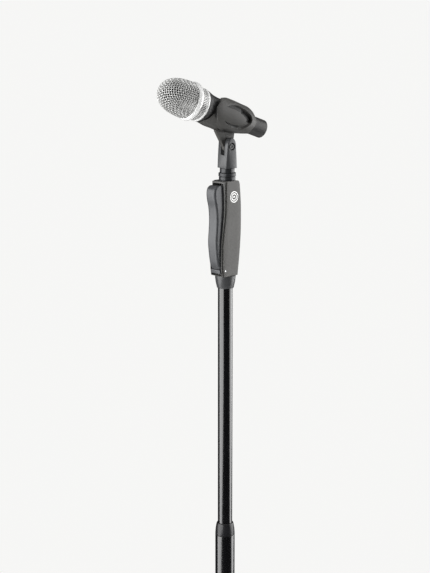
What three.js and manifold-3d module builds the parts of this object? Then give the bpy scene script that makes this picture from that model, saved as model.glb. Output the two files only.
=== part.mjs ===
// Microphone stand with a one-hand clutch grip, a clip and a hand-held microphone.
// Millimetres, +Z up, origin on the floor under the middle of the base; the lever side faces -Y.
import * as THREE from 'three'
import { mergeVertices } from 'three/addons/utils/BufferGeometryUtils.js'
import Module from 'manifold-3d'

const wasm = await Module()
wasm.setup()

// general fits
const fit = 0.3

// base
const baseRadius = 125
const baseUnderside = 3
const baseEdgeHeight = 10
const hubHeight = 28
const hubMargin = 0.5
const footRingInset = 9
const footRingWidth = 10
const footRingGroove = 3
const boltRadius = 5
const boltRise = 24
const boltHeadRadius = 9.2
const boltHeadHeight = 6
const washerRadius = 12
const washerThickness = 1.8
const counterboreRadius = 14
const counterboreTop = 12

// lower tube and coupling
const lowerTubeRadius = 13.5
const lowerTubeWall = 1.5
const lowerTubeLength = 854.2
const footPlugRise = 32
const footCollarHeight = 12
const footCollarWall = 4
const collarHeight = 17.5
const collarRimWall = 0.4
const collarClearance = 0.6
const collarPocketHeight = 7.5
const bushLength = 29

// upper tube, running inside the lower one
const upperTubeRadius = 10
const upperTubeWall = 1.5
const upperTubeLength = 819.9
const tubeOverlap = 452.5
const glideRingLength = 16
const snapRingThickness = 1.5

// clutch under the upper tube, and the rod that lets it go
const clutchClearance = 0.5
const clutchLength = 50
const clutchStem = 30
const clutchChamberRadius = 8
const clutchChamberDepth = 42
const shoeCount = 3
const shoeWidth = 10.4
const shoeHeight = 23.2
const shoeRise = 10.7
const shoeGap = 0.2
const shoeInnerFace = 3.6
const coneRise = 5.6
const coneHeight = 12
const coneWideRadius = 7.3
const coneNarrowRadius = 3.2
const rodRadius = 2.2
const rodTail = 10
const rodNutRadius = 4.2
const rodNutHeight = 6

// head of the rod, its guide and the spring under it
const rodHeadRadius = 5
const rodHeadRise = 7.9
const rodHeadHeight = 3.4
const guideInset = 6.2
const guideLength = 18.7
const springRadius = 4.7
const springWire = 0.65
const springTurns = 4

// sleeve under the housing
const sleeveHeight = 17
const sleeveFootWall = 1.2
const sleeveTopWall = 4

// housing: heights are above its underside
const housingLift = 0.4
const housingHeight = 127.9
const housingWidth = 25.5
const coverThickness = 1.2
const coverEdge = 0.4
const coverGap = 0.7
const frameWall = 0.9
const frameFloor = 1.4
const rodSeatHeight = 3.5
const ceilingDrop = 2.6
const bossDrop = 16.2
const bossFront = 1.5
const cavityFront = 16
const cavityBack = 6
const leverClearance = 1.2
const badgeRadius = 7.75
const badgeY = 3.4
const badgeDrop = 21.5
const badgeSink = 0.6
const badgeProud = 0.3
const coverScrewRadius = 1.4
const coverScrewHead = 2.6
const coverScrewY = 9.2
const coverScrewHeights = [19.7, 95.7]

// lever: heights are above the housing's underside
const leverPinY = -12.6
const leverPinHeight = 8.2
const leverPinRadius = 1.5
const leverLugRadius = 3.2
const leverRound = 4.2
const padDepth = 2.8
const footBottom = 4
const footTop = 9.4
const fingerWidth = 6
const fingerReach = 2.5
const fingerGap = 0.4
const fingerHeight = 4.5

// neck, lock nut and yoke
const neckY = 3.2
const neckRadius = 11
const neckHeight = 5
const neckStemRadius = 3.5
const studRadius = 4.76
const studLength = 22.8
const nutRadius = 11.6
const nutFlutes = 16
const nutHeight = 4.5
const headTurn = -9
const insertRadius = 9.8
const insertCollar = 5.8
const insertSleeve = 8
const insertSleeveRadius = 7.2
const yokeHeight = 40.5
const yokeWidth = 22.7
const yokeDepth = 17.8
const yokeTopDepth = 14
const prongCrown = 9.5
const yokeTaper = 0.07
const yokeBulge = 1.7
const slotWidth = 8.5
const slotRise = 17.5
const pivotRise = 28.9
const pivotRadius = 2.6
const pivotHeadRadius = 3.4
const pivotHeadThickness = 1.8
const pivotRecessRadius = 5
const pivotRecessDepth = 2.6
const pivotWasherRadius = 6.2
const pivotWasherThickness = 0.6

// clip: stations run along the microphone from the point above the pivot, heads forward
const headTilt = -20
const axisRise = 37.5
const clipFront = 49.5
const lipFront = 56
const lipInset = 1.3
const clipSlotWidth = 23
const earThickness = 6.4
const earWeb = 3.6
const earHubRadius = 7.4
const eyeCentre = 12
const eyeRise = 0
const eyeLength = 50
const eyeHeight = 29.2
const padCentre = 20
const padRise = -1.8
const padLength = 45
const padHeight = 20
const eyeDepth = 2.6

// microphone
const micTail = -47
const handleEnd = 60.5
const spigotEnd = 80.5
const spigotRadius = 17.7
const tailRadius = 12.3
const tailBore = 9.6
const bodyBore = 9
const headBore = 14
const insertThickness = 8
const insertStart = -33
const contactRadius = 1.15
const contactSpread = 4.6
const contactReach = 6
const rearRingStart = 61
const rearRingEnd = 64
const rearRingRadius = 22.3
const bandEnd = 73.4
const bandRadius = 21.9
const frontRingStart = 73.9
const frontRingEnd = 81.4
const frontRingRadius = 26
const ringBore = 18
const grilleStart = 82
const grilleWall = 1.2
const foamWall = 2
const capsuleStart = 88
const capsuleEnd = 103
const capsuleRadius = 13
const mountRadius = 17.2

// places that follow from the sizes
const lowerTubeBore = lowerTubeRadius - lowerTubeWall
const upperTubeBore = upperTubeRadius - upperTubeWall
const tubeBottom = hubHeight + fit
const footHeight = baseUnderside + footRingGroove
const footRingOuter = baseRadius - footRingInset
const footRingInner = footRingOuter - footRingWidth
const footCollarRadius = lowerTubeRadius + footCollarWall
const hubRadius = footCollarRadius + hubMargin
const boltTop = hubHeight + boltRise
const footPlugTop = hubHeight + footPlugRise
const lowerTubeTop = tubeBottom + lowerTubeLength
const collarTop = lowerTubeTop + collarHeight
const collarBore = upperTubeRadius + collarClearance
const collarRimRadius = collarBore + collarRimWall
const upperTubeBottom = lowerTubeTop - tubeOverlap
const upperTubeTop = upperTubeBottom + upperTubeLength
const clutchRadius = lowerTubeBore - clutchClearance
const clutchBottom = upperTubeBottom - fit - clutchLength
const shoeBottom = clutchBottom + shoeRise
const shoeOuterRadius = lowerTubeBore - shoeGap
const coneBottom = shoeBottom + coneRise
const rodBottom = coneBottom - rodTail
const guideTop = upperTubeTop - guideInset
const guideBottom = guideTop - guideLength
const sleeveBottomRadius = upperTubeRadius + sleeveFootWall
const sleeveTopRadius = upperTubeRadius + sleeveTopWall
const housingBottom = upperTubeTop + housingLift
const housingTop = housingBottom + housingHeight
const sleeveBottom = housingBottom - fit - sleeveHeight
const rodHeadBottom = housingBottom + rodHeadRise
const rodHeadTop = rodHeadBottom + rodHeadHeight
const springTop = rodHeadBottom - fit
const frameHalf = housingWidth / 2 - coverThickness - coverGap
const cavityHalf = frameHalf - frameWall
const ceilingHeight = housingTop - ceilingDrop
const bossHeight = housingTop - bossDrop
const badgeZ = housingTop - badgeDrop
const coverScrewZs = coverScrewHeights.map(height => housingBottom + height)
const leverWidth = 2 * (cavityHalf - leverClearance)
const leverPinZ = housingBottom + leverPinHeight
const fingerBottom = rodHeadTop + fingerGap
const fingerTop = fingerBottom + fingerHeight
const neckTop = housingTop + neckHeight
const studTop = neckTop + studLength
const nutBottom = neckTop + fit + 0.1
const nutTop = nutBottom + nutHeight
const yokeBottom = nutTop + 2 * fit + insertCollar
const slotBottom = yokeBottom + slotRise
const prongTop = yokeBottom + yokeHeight
const pivotZ = yokeBottom + pivotRise
const group = new THREE.Group()
group.name = 'microphone_stand'

// ---- shape helpers ----

function signedVolume(positions, index) {
  let volume = 0
  const a = new THREE.Vector3()
  const b = new THREE.Vector3()
  const c = new THREE.Vector3()
  for (let i = 0; i < index.length; i += 3) {
    a.fromBufferAttribute(positions, index[i])
    b.fromBufferAttribute(positions, index[i + 1])
    c.fromBufferAttribute(positions, index[i + 2])
    volume += a.dot(b.cross(c)) / 6
  }
  return volume
}

// Joins coincident corners, drops collapsed triangles and turns every face outward.
function closed(geometry) {
  const plain = geometry.index ? geometry.toNonIndexed() : geometry.clone()
  plain.deleteAttribute('normal')
  plain.deleteAttribute('uv')
  const joined = mergeVertices(plain, 1e-4)
  const source = joined.index.array
  const kept = []
  for (let i = 0; i < source.length; i += 3) {
    const [a, b, c] = [source[i], source[i + 1], source[i + 2]]
    if (a !== b && b !== c && c !== a) kept.push(a, b, c)
  }
  if (signedVolume(joined.attributes.position, kept) < 0) {
    for (let i = 0; i < kept.length; i += 3) {
      [kept[i + 1], kept[i + 2]] = [kept[i + 2], kept[i + 1]]
    }
  }
  joined.setIndex(kept)
  joined.deleteAttribute('normal')
  joined.computeVertexNormals()
  return joined
}

function solid(geometry) {
  const ready = closed(geometry)
  const vertProperties = new Float32Array(ready.attributes.position.array)
  const triVerts = new Uint32Array(ready.index.array)
  return new wasm.Manifold(new wasm.Mesh({ numProp: 3, vertProperties, triVerts }))
}

function fromSolid(body) {
  const data = body.getMesh()
  const geometry = new THREE.BufferGeometry()
  geometry.setAttribute('position', new THREE.BufferAttribute(new Float32Array(data.vertProperties), 3))
  geometry.setIndex([...data.triVerts])
  return closed(geometry)
}

// Turns a closed or axis-to-axis outline of (radius, height) pairs about Z.
function turned(outline, segments = 32) {
  const points = outline.map(([radius, height]) => new THREE.Vector2(radius, height))
  const geometry = new THREE.LatheGeometry(points, segments)
  geometry.rotateX(Math.PI / 2)
  return geometry
}

function rod(radius, bottom, top, segments = 32) {
  return turned([[0, bottom], [radius, bottom], [radius, top], [0, top]], segments)
}

function pipe(bore, radius, bottom, top, segments = 32) {
  return turned([[bore, bottom], [radius, bottom], [radius, top], [bore, top], [bore, bottom]], segments)
}

// Turns an outline of (radius, station) pairs about the microphone's axis, the head toward -Y.
function alongMic(outline, segments = 32) {
  const points = outline.map(([radius, station]) => new THREE.Vector2(radius, station))
  const geometry = new THREE.LatheGeometry(points, segments)
  geometry.rotateX(Math.PI)
  geometry.translate(0, 0, axisRise)
  return geometry
}

// Pushes an outline of (y, z) pairs out along X, centred, with an optional rounded edge.
function slab(outline, width, round = 0, steps = 2) {
  const shape = new THREE.Shape(outline.map(([y, z]) => new THREE.Vector2(y, z)))
  const geometry = new THREE.ExtrudeGeometry(shape, {
    depth: width - 2 * round,
    bevelEnabled: round > 0,
    bevelThickness: round,
    bevelSize: round,
    bevelOffset: -round,
    bevelSegments: steps,
    steps: 1,
  })
  geometry.translate(0, 0, -(width - 2 * round) / 2)
  geometry.applyMatrix4(new THREE.Matrix4().set(0, 0, 1, 0, 1, 0, 0, 0, 0, 1, 0, 0, 0, 0, 0, 1))
  return geometry
}

function block(x0, x1, y0, y1, z0, z1) {
  const geometry = new THREE.BoxGeometry(x1 - x0, y1 - y0, z1 - z0)
  geometry.translate((x0 + x1) / 2, (y0 + y1) / 2, (z0 + z1) / 2)
  return geometry
}

// A round bar lying along X at a given (y, z).
function crossBar(radius, x0, x1, y, z, segments = 20) {
  const geometry = rod(radius, x0, x1, segments)
  geometry.rotateY(Math.PI / 2)
  geometry.translate(0, y, z)
  return geometry
}

function hexBar(radius, bottom, top) {
  const geometry = new THREE.CylinderGeometry(radius, radius, top - bottom, 6)
  geometry.rotateX(Math.PI / 2)
  geometry.translate(0, 0, (bottom + top) / 2)
  return geometry
}

// Smooth open curve through (y, z) pairs, returned as pairs.
function smooth(pairs, count) {
  const curve = new THREE.SplineCurve(pairs.map(([y, z]) => new THREE.Vector2(y, z)))
  return curve.getPoints(count).map(point => [point.x, point.y])
}

function add(parent, name, geometry, colour, roughness = 0.5, metalness = 0.1) {
  const material = new THREE.MeshStandardMaterial({ color: colour, roughness, metalness })
  material.name = name + '_surface'
  const mesh = new THREE.Mesh(closed(geometry), material)
  mesh.name = name
  parent.add(mesh)
  return mesh
}

// ---- base ----

function basePlate() {
  const outline = [
    [boltRadius + fit, counterboreTop],
    [boltRadius + fit, hubHeight],
    [hubRadius, hubHeight],
    [hubRadius + 4, hubHeight - 2],
    [hubRadius + 13, hubHeight - 7.5],
    [baseRadius * 0.5, baseEdgeHeight + 6.5],
    [baseRadius - 24, baseEdgeHeight + 2.5],
    [baseRadius - 7, baseEdgeHeight],
    [baseRadius - 1.5, baseEdgeHeight - 2.5],
    [baseRadius, baseEdgeHeight - 5],
    [baseRadius - 0.8, baseUnderside],
    [footRingOuter, baseUnderside],
    [footRingOuter, footHeight],
    [footRingInner, footHeight],
    [footRingInner, baseUnderside],
    [counterboreRadius, baseUnderside],
    [counterboreRadius, counterboreTop],
    [boltRadius + fit, counterboreTop],
  ]
  return turned(outline, 36)
}

function baseRubberRing() {
  const inner = footRingInner + fit
  const outer = footRingOuter - fit
  const outline = [
    [inner, footHeight - fit],
    [inner, 1],
    [inner + 1, 0],
    [outer - 1, 0],
    [outer, 1],
    [outer, footHeight - fit],
    [inner, footHeight - fit],
  ]
  return turned(outline, 36)
}

function baseBolt() {
  const headTop = counterboreTop - washerThickness - 2 * fit
  const head = solid(hexBar(boltHeadRadius, headTop - boltHeadHeight, headTop))
  return fromSolid(head.add(solid(rod(boltRadius, headTop - 1, boltTop, 24))))
}

function footPlug() {
  const outline = [
    [0, boltTop + 2],
    [boltRadius + fit, boltTop + 2],
    [boltRadius + fit, tubeBottom],
    [lowerTubeBore - fit, tubeBottom],
    [lowerTubeBore - fit, footPlugTop],
    [0, footPlugTop],
  ]
  return turned(outline, 20)
}

function footCollar() {
  const bore = lowerTubeRadius + fit
  const top = tubeBottom + footCollarHeight
  const outline = [
    [bore, tubeBottom],
    [footCollarRadius, tubeBottom],
    [footCollarRadius, top - 4],
    [footCollarRadius - 2.4, top],
    [bore, top],
    [bore, tubeBottom],
  ]
  return turned(outline, 28)
}

// ---- coupling between the tubes ----

function couplingCollar() {
  const bottom = lowerTubeTop + fit
  const rise = collarTop - bottom
  const shoulder = bottom + collarPocketHeight
  const outline = [
    [lowerTubeBore, bottom],
    [lowerTubeRadius, bottom],
    [lowerTubeRadius - 0.1, bottom + rise * 0.2],
    [lowerTubeRadius - 0.5, bottom + rise * 0.5],
    [lowerTubeRadius - 1.3, bottom + rise * 0.8],
    [collarRimRadius + 0.5, collarTop - 0.7],
    [collarRimRadius, collarTop],
    [collarBore, collarTop],
    [collarBore, shoulder],
    [lowerTubeBore, shoulder],
    [lowerTubeBore, bottom],
  ]
  return turned(outline, 28)
}

function guideBush() {
  const top = lowerTubeTop + collarPocketHeight
  return pipe(upperTubeRadius + fit, lowerTubeBore - fit, top - bushLength, top, 24)
}

// ---- upper tube and clutch ----

function clutchBody() {
  const top = upperTubeBottom - fit
  const bottom = clutchBottom
  const outline = [
    [clutchChamberRadius, bottom],
    [clutchRadius, bottom],
    [clutchRadius, top],
    [upperTubeBore - fit, top],
    [upperTubeBore - fit, top + clutchStem],
    [rodRadius + fit, top + clutchStem],
    [rodRadius + fit, bottom + clutchChamberDepth],
    [clutchChamberRadius, bottom + clutchChamberDepth],
    [clutchChamberRadius, bottom],
  ]
  let body = solid(turned(outline, 30))
  for (let i = 0; i < shoeCount; i += 1) {
    const half = shoeWidth / 2 + fit
    const window = block(4, clutchRadius + 2.5, -half, half, shoeBottom - fit, shoeBottom + shoeHeight + fit)
    window.rotateZ((i * 2 * Math.PI) / shoeCount)
    body = body.subtract(solid(window))
  }
  return fromSolid(body)
}

function coneOutline(grow) {
  const top = coneBottom + coneHeight
  return [
    [0, coneBottom - grow],
    [coneWideRadius + grow, coneBottom - grow],
    [coneWideRadius + grow, coneBottom],
    [coneNarrowRadius + grow, top],
    [coneNarrowRadius + grow, top + grow],
    [0, top + grow],
  ]
}

function brakeShoe() {
  const half = shoeWidth / 2
  const top = shoeBottom + shoeHeight
  const body = solid(block(shoeInnerFace, shoeOuterRadius + 1, -half, half, shoeBottom, top))
  const rounded = body.intersect(solid(rod(shoeOuterRadius, shoeBottom - 1, top + 1, 36)))
  const cone = solid(turned(coneOutline(0.35), 24))
  const below = solid(rod(coneWideRadius + 0.9, shoeBottom - 1, coneBottom, 24))
  return fromSolid(rounded.subtract(cone).subtract(below))
}

function wedgeCone() {
  const top = coneBottom + coneHeight
  const bore = rodRadius + fit
  const outline = [
    [bore, coneBottom],
    [coneWideRadius, coneBottom],
    [coneNarrowRadius, top],
    [bore, top],
    [bore, coneBottom],
  ]
  return turned(outline, 24)
}

function rodNut() {
  const top = coneBottom - fit
  const body = solid(hexBar(rodNutRadius, top - rodNutHeight, top))
  return fromSolid(body.subtract(solid(rod(rodRadius + fit, rodBottom - 5, top + 5, 16))))
}

function rodHead() {
  const bore = rodRadius + fit
  const roof = rodHeadTop - 1.4
  const outline = [
    [0, roof],
    [bore, roof],
    [bore, rodHeadBottom],
    [rodHeadRadius, rodHeadBottom],
    [rodHeadRadius, rodHeadTop - 0.6],
    [rodHeadRadius - 0.6, rodHeadTop],
    [0, rodHeadTop],
  ]
  return turned(outline, 24)
}

class SpringCurve extends THREE.Curve {
  getPoint(t, target = new THREE.Vector3()) {
    const angle = t * springTurns * 2 * Math.PI
    const low = guideTop + fit + springWire
    const high = springTop - springWire
    return target.set(springRadius * Math.cos(angle), springRadius * Math.sin(angle), low + t * (high - low))
  }
}

function returnSpring() {
  const section = new THREE.Shape()
  section.absarc(0, 0, springWire, 0, 2 * Math.PI)
  return new THREE.ExtrudeGeometry(section, {
    steps: springTurns * 12,
    extrudePath: new SpringCurve(),
    curveSegments: 2,
    bevelEnabled: false,
  })
}

function taperSleeve() {
  const bore = upperTubeRadius + fit
  const top = housingBottom - fit
  const rise = top - sleeveBottom
  const swell = sleeveTopRadius - sleeveBottomRadius
  const outline = [[bore, sleeveBottom], [sleeveBottomRadius, sleeveBottom]]
  for (const share of [0.15, 0.35, 0.6, 0.85]) {
    outline.push([sleeveBottomRadius + swell * Math.sin(share * Math.PI / 2), sleeveBottom + rise * share])
  }
  outline.push([sleeveTopRadius, top], [bore, top], [bore, sleeveBottom])
  return turned(outline, 28)
}

// ---- housing ----

// Lifts (y, height) pairs from the housing's underside to where the housing stands.
function raised(pairs) {
  return pairs.map(([y, height]) => [y, housingBottom + height])
}

function coverOutline() {
  const top = housingHeight
  const front = smooth(raised([[-14.6, 0], [-16, 11.7], [-16.2, 25.7], [-15.6, 47.7], [-12.6, 67.7],
    [-10.4, 85.7], [-10, 101.7], [-10.1, top - 1.6]]), 18)
  const back = smooth(raised([[14.2, top - 3], [15.9, 107.7], [16.9, 87.7], [16.6, 57.7], [14.4, 29.7],
    [10.7, 0]]), 12)
  return [...front, ...raised([[-9.4, top], [11.6, top]]), ...back]
}

function frameOutline() {
  const top = housingHeight - 0.4
  const front = smooth(raised([[-16.6, 1.4], [-18, 11.7], [-18.2, 29.7], [-17.2, 49.7], [-14.4, 71.7],
    [-13, 87.7], [-13, 105.7], [-14.4, top - 0.6]]), 16)
  const back = smooth(raised([[13.4, top - 3], [15, 107.7], [16, 87.7], [15.7, 57.7], [13.5, 29.7],
    [10, 0.2]]), 10)
  return [...raised([[-15, 0.2]]), ...front, ...raised([[-13.8, top], [10.8, top]]), ...back]
}

function cavityOutline() {
  const floor = housingBottom + frameFloor
  const seat = housingBottom + rodSeatHeight
  return [
    [-30, floor],
    [-cavityFront + 6, floor],
    [-cavityFront + 6, seat],
    [cavityBack, seat],
    [cavityBack, bossHeight],
    [-bossFront, bossHeight],
    [-bossFront, ceilingHeight],
    [-30, ceilingHeight],
  ]
}

function housingFrame() {
    let body = solid(slab(frameOutline(), 2 * frameHalf, 0.4, 1))
  body = body.subtract(solid(slab(cavityOutline(), 2 * cavityHalf)))
  body = body.subtract(solid(rod(springRadius + springWire + 0.9, housingBottom - 5, rodHeadTop, 24)))
  body = body.subtract(solid(crossBar(leverPinRadius + fit, -20, 20, leverPinY, leverPinZ)))
  const stemHole = rod(neckStemRadius + fit, bossHeight + 2, housingTop + 5, 20)
  stemHole.translate(0, neckY, 0)
  body = body.subtract(solid(stemHole))
  for (const height of coverScrewZs) {
    body = body.subtract(solid(crossBar(coverScrewRadius + fit, -20, 20, coverScrewY, height, 12)))
  }
  return fromSolid(body)
}

function sideCover(side) {
  const middle = side * (housingWidth / 2 - coverThickness / 2)
  const plate = slab(coverOutline(), coverThickness, coverEdge, 1)
  plate.translate(middle, 0, 0)
  let body = solid(plate)
  body = body.subtract(solid(crossBar(leverPinRadius + fit, -20, 20, leverPinY, leverPinZ)))
  const inner = housingWidth / 2 - coverThickness
  for (const height of coverScrewZs) {
    if (side < 0) {
      body = body.subtract(solid(crossBar(coverScrewRadius + fit, -20, 20, coverScrewY, height, 12)))
    } else {
      const reach = inner + 0.9
      body = body.subtract(solid(crossBar(coverScrewRadius + fit, inner - 5, reach, coverScrewY, height, 12)))
    }
  }
  if (side > 0) {
    const seat = housingWidth / 2 - badgeSink - fit
    body = body.subtract(solid(crossBar(badgeRadius + fit, seat, 20, badgeY, badgeZ, 24)))
  }
  return fromSolid(body)
}

function coverScrew(height) {
  const face = -housingWidth / 2
  const head = crossBar(coverScrewHead, face - 1.4, face - fit, coverScrewY, height, 16)
  const end = housingWidth / 2 - coverThickness + 0.6
  const shank = crossBar(coverScrewRadius, face - 0.6, end, coverScrewY, height, 12)
  return fromSolid(solid(head).add(solid(shank)))
}

function badge() {
  const face = housingWidth / 2
  const outline = [
    [0, face - badgeSink],
    [badgeRadius, face - badgeSink],
    [badgeRadius, face + badgeProud - 0.2],
    [badgeRadius - 0.8, face + badgeProud],
    [badgeRadius - 1.2, face + badgeProud - 0.15],
    [0, face + badgeProud - 0.15],
  ]
  const geometry = turned(outline, 24)
  geometry.rotateY(Math.PI / 2)
  geometry.translate(0, badgeY, badgeZ)
  return geometry
}

function pivotPin() {
  const reach = housingWidth / 2 + 0.25
  const outline = [
    [0, -reach],
    [leverPinRadius - 0.5, -reach],
    [leverPinRadius, -reach + 0.4],
    [leverPinRadius, reach - 0.4],
    [leverPinRadius - 0.5, reach],
    [0, reach],
  ]
  const geometry = turned(outline, 14)
  geometry.rotateY(Math.PI / 2)
  geometry.translate(0, leverPinY, leverPinZ)
  return geometry
}

// ---- lever ----

function leverFront() {
  return smooth(raised([[-18.8, 10.3], [-21.4, 15.2], [-23.4, 23.7], [-25.4, 37.7], [-26, 48.7], [-24.9, 63.7],
    [-24.2, 77.7], [-25.4, 92.7], [-28, 103.7], [-28.9, 111.2], [-27.4, 117.5], [-23.2, 121.2]]), 18)
}

function leverBack() {
  return smooth(raised([[-12.2, 121.2], [-10.6, 101.7], [-9.8, 80.7], [-13, 46.7], [-14, 21.7], [-14, 10.3]]), 12)
}

// Height-to-depth reading of a smooth line of (y, z) pairs.
function depthAt(line, height) {
  const next = Math.max(line.findIndex(([, z]) => z >= height - 1e-6), 1)
  const [y0, z0] = line[next - 1]
  const [y1, z1] = line[next]
  return y0 + ((y1 - y0) * (height - z0)) / (z1 - z0)
}

// A level section with two rounded front corners, carried up the lever between its front and back lines.
function leverSolid() {
  const half = leverWidth / 2
  const front = leverFront()
  const back = leverBack().reverse()
  const steps = front.length - 1
  const section = new THREE.Shape()
  section.moveTo(-half, 2 * leverRound)
  section.lineTo(-half, leverRound)
  section.absarc(-half + leverRound, leverRound, leverRound, Math.PI, 1.5 * Math.PI)
  section.absarc(half - leverRound, leverRound, leverRound, 1.5 * Math.PI, 2 * Math.PI)
  section.lineTo(half, 2 * leverRound)
  const geometry = new THREE.ExtrudeGeometry(section, {
    depth: 1,
    steps,
    bevelEnabled: false,
    curveSegments: 3,
  })
  const position = geometry.attributes.position
  for (let i = 0; i < position.count; i += 1) {
    const [frontY, height] = front[Math.round(position.getZ(i) * steps)]
    const inset = position.getY(i)
    const atBack = inset > leverRound + 0.01
    position.setY(i, atBack ? depthAt(back, height) : frontY + inset)
    position.setZ(i, height)
  }
  return solid(geometry)
}

// Everything in front of the joint line between the lever and its pad.
function padRegion(depth) {
  const line = leverFront().map(([y, z]) => [y + depth, z])
  const start = line[0]
  const end = line[line.length - 1]
  const low = housingBottom - 10
  const high = housingTop + 12
  return solid(slab([[start[0], low], ...line, [end[0], high], [-60, high], [-60, low]], 60))
}

function leverPad() {
  return fromSolid(leverSolid().intersect(padRegion(padDepth)))
}

function leverBody() {
  const lugHalf = leverWidth / 2 - 1
  const half = fingerWidth / 2
  const lug = solid(crossBar(leverLugRadius, -lugHalf, lugHalf, leverPinY, leverPinZ, 24))
  const root = solid(slab(raised([[-16.6, 11.7], [-9, 6.7], [-8.6, 17.7], [-13.4, 29.7], [-17, 29.7]]), 2 * lugHalf))
  const foot = solid(slab(raised([[-18.4, footBottom], [-12, footBottom], [-12, footTop + 2.6],
    [-15.4, footTop + 2.6], [-15.8, footTop + 0.6], [-19.2, footTop]]), leverWidth, 0.5, 1))
  const finger = solid(block(-half, half, leverPinY, fingerReach, fingerBottom, fingerTop))
  const web = solid(slab([[-14, fingerBottom], [-6, fingerBottom], [-13, fingerTop + 17.5]], fingerWidth))
  let body = leverSolid().subtract(padRegion(padDepth + fit))
  body = body.add(foot).add(lug).add(root).add(finger).add(web)
  return fromSolid(body.subtract(solid(crossBar(leverPinRadius + fit, -20, 20, leverPinY, leverPinZ))))
}

// ---- neck, lock nut and yoke ----

function neckStud() {
  const outline = [
    [0, bossHeight + 2 + fit],
    [neckStemRadius, bossHeight + 2 + fit],
    [neckStemRadius, housingTop + fit],
    [neckRadius - 0.4, housingTop + fit],
    [neckRadius, housingTop + 1],
    [neckRadius, neckTop - 0.8],
    [neckRadius - 0.6, neckTop],
    [studRadius, neckTop],
    [studRadius, studTop - 1],
    [studRadius - 1, studTop],
    [0, studTop],
  ]
  return turned(outline, 26)
}

function lockNut() {
  const shape = new THREE.Shape()
  const count = nutFlutes * 4
  for (let i = 0; i < count; i += 1) {
    const angle = (i / count) * 2 * Math.PI
    const radius = nutRadius - 0.35 + 0.35 * Math.cos(nutFlutes * angle)
    const point = [radius * Math.cos(angle), radius * Math.sin(angle)]
    if (i === 0) shape.moveTo(...point)
    else shape.lineTo(...point)
  }
  const hole = new THREE.Path()
  hole.absarc(0, 0, studRadius + fit, 0, 2 * Math.PI)
  shape.holes.push(hole)
  const geometry = new THREE.ExtrudeGeometry(shape, {
    depth: nutTop - nutBottom,
    bevelEnabled: false,
    curveSegments: 14,
  })
  geometry.translate(0, 0, nutBottom)
  return geometry
}

function threadInsert() {
  const bore = studRadius + fit
  const low = nutTop + fit
  const shelf = yokeBottom - fit
  const outline = [
    [bore, low],
    [insertRadius - 0.5, low],
    [insertRadius, low + 0.5],
    [insertRadius, shelf],
    [insertSleeveRadius, shelf],
    [insertSleeveRadius, shelf + insertSleeve],
    [bore, shelf + insertSleeve],
    [bore, low],
  ]
  return turned(outline, 26)
}

function yokeBlank() {
  const low = yokeDepth / 2
  const high = yokeTopDepth / 2
  const arc = []
  for (let i = 0; i <= 10; i += 1) {
    const angle = (i / 10) * Math.PI
    arc.push([high * Math.cos(angle), prongTop - prongCrown + prongCrown * Math.sin(angle)])
  }
  const outline = [[-low, yokeBottom], [low, yokeBottom], ...arc]
  const geometry = slab(outline, yokeWidth, 1.2, 2)
  const position = geometry.attributes.position
  for (let i = 0; i < position.count; i += 1) {
    const share = (position.getZ(i) - yokeBottom) / (prongTop - yokeBottom)
    position.setX(i, position.getX(i) * (1 - yokeTaper * share))
  }
  const reach = yokeDepth / 2
  const sideRadius = (reach * reach + yokeBulge * yokeBulge) / (2 * yokeBulge)
  const side = rod(sideRadius, yokeBottom - 1, prongTop + 1, 96)
  const right = side.clone().translate(yokeWidth / 2 - sideRadius, 0, 0)
  const left = side.clone().translate(sideRadius - yokeWidth / 2, 0, 0)
  return solid(geometry).intersect(solid(right)).intersect(solid(left))
}

function yoke() {
  const half = slotWidth / 2
  const share = (pivotZ - yokeBottom) / (prongTop - yokeBottom)
  const face = (yokeWidth / 2) * (1 - yokeTaper * share)
  const recess = face - pivotRecessDepth
  let body = yokeBlank()
  body = body.subtract(solid(block(-half, half, -30, 30, slotBottom, prongTop + 10)))
  body = body.subtract(solid(rod(insertSleeveRadius + fit, yokeBottom - 5, yokeBottom + insertSleeve + fit, 24)))
  body = body.subtract(solid(rod(studRadius + fit, yokeBottom - 5, studTop + 1.5, 24)))
  body = body.subtract(solid(crossBar(pivotRadius + fit, -30, 30, 0, pivotZ)))
  body = body.subtract(solid(crossBar(pivotRecessRadius, recess, 30, 0, pivotZ, 28)))
  body = body.subtract(solid(crossBar(pivotRecessRadius, -30, -recess, 0, pivotZ, 28)))
  return fromSolid(body)
}

function pivotRecess() {
  const share = (pivotZ - yokeBottom) / (prongTop - yokeBottom)
  return (yokeWidth / 2) * (1 - yokeTaper * share) - pivotRecessDepth
}

function pivotBolt() {
  const seat = pivotRecess() + fit
  const end = -(seat + pivotHeadThickness)
  const head = solid(crossBar(pivotHeadRadius, seat, seat + pivotHeadThickness, 0, pivotZ, 24))
  const shank = solid(crossBar(pivotRadius, end, seat + 0.5, 0, pivotZ, 20))
  const socket = hexBar(1.7, seat + 0.6, seat + 5)
  socket.rotateY(Math.PI / 2)
  socket.translate(0, 0, pivotZ)
  return fromSolid(head.add(shank).subtract(solid(socket)))
}

function pivotNut() {
  const seat = pivotRecess() + fit
  const bar = hexBar(4.4, -seat - 2, -seat)
  bar.rotateY(Math.PI / 2)
  bar.translate(0, 0, pivotZ)
  return fromSolid(solid(bar).subtract(solid(crossBar(pivotRadius + fit, -30, 30, 0, pivotZ))))
}

function pivotWasher(side) {
  const near = earThickness / 2 + 0.2
  const geometry = pipe(pivotRadius + fit, pivotWasherRadius, near, near + pivotWasherThickness, 24)
  geometry.rotateY((side * Math.PI) / 2)
  geometry.translate(0, 0, pivotZ)
  return geometry
}

// ---- clip ----

// Outside of the clip as (radius, station) pairs, from the tail end to the front lip.
const clipRadii = [[13.6, -26], [15.2, -23], [17.7, -19], [19.8, -14], [21.5, -8], [22.9, 2],
  [23.8, 14], [24.3, 26], [24.6, 38], [24.4, 45], [22.9, lipFront]]

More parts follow.
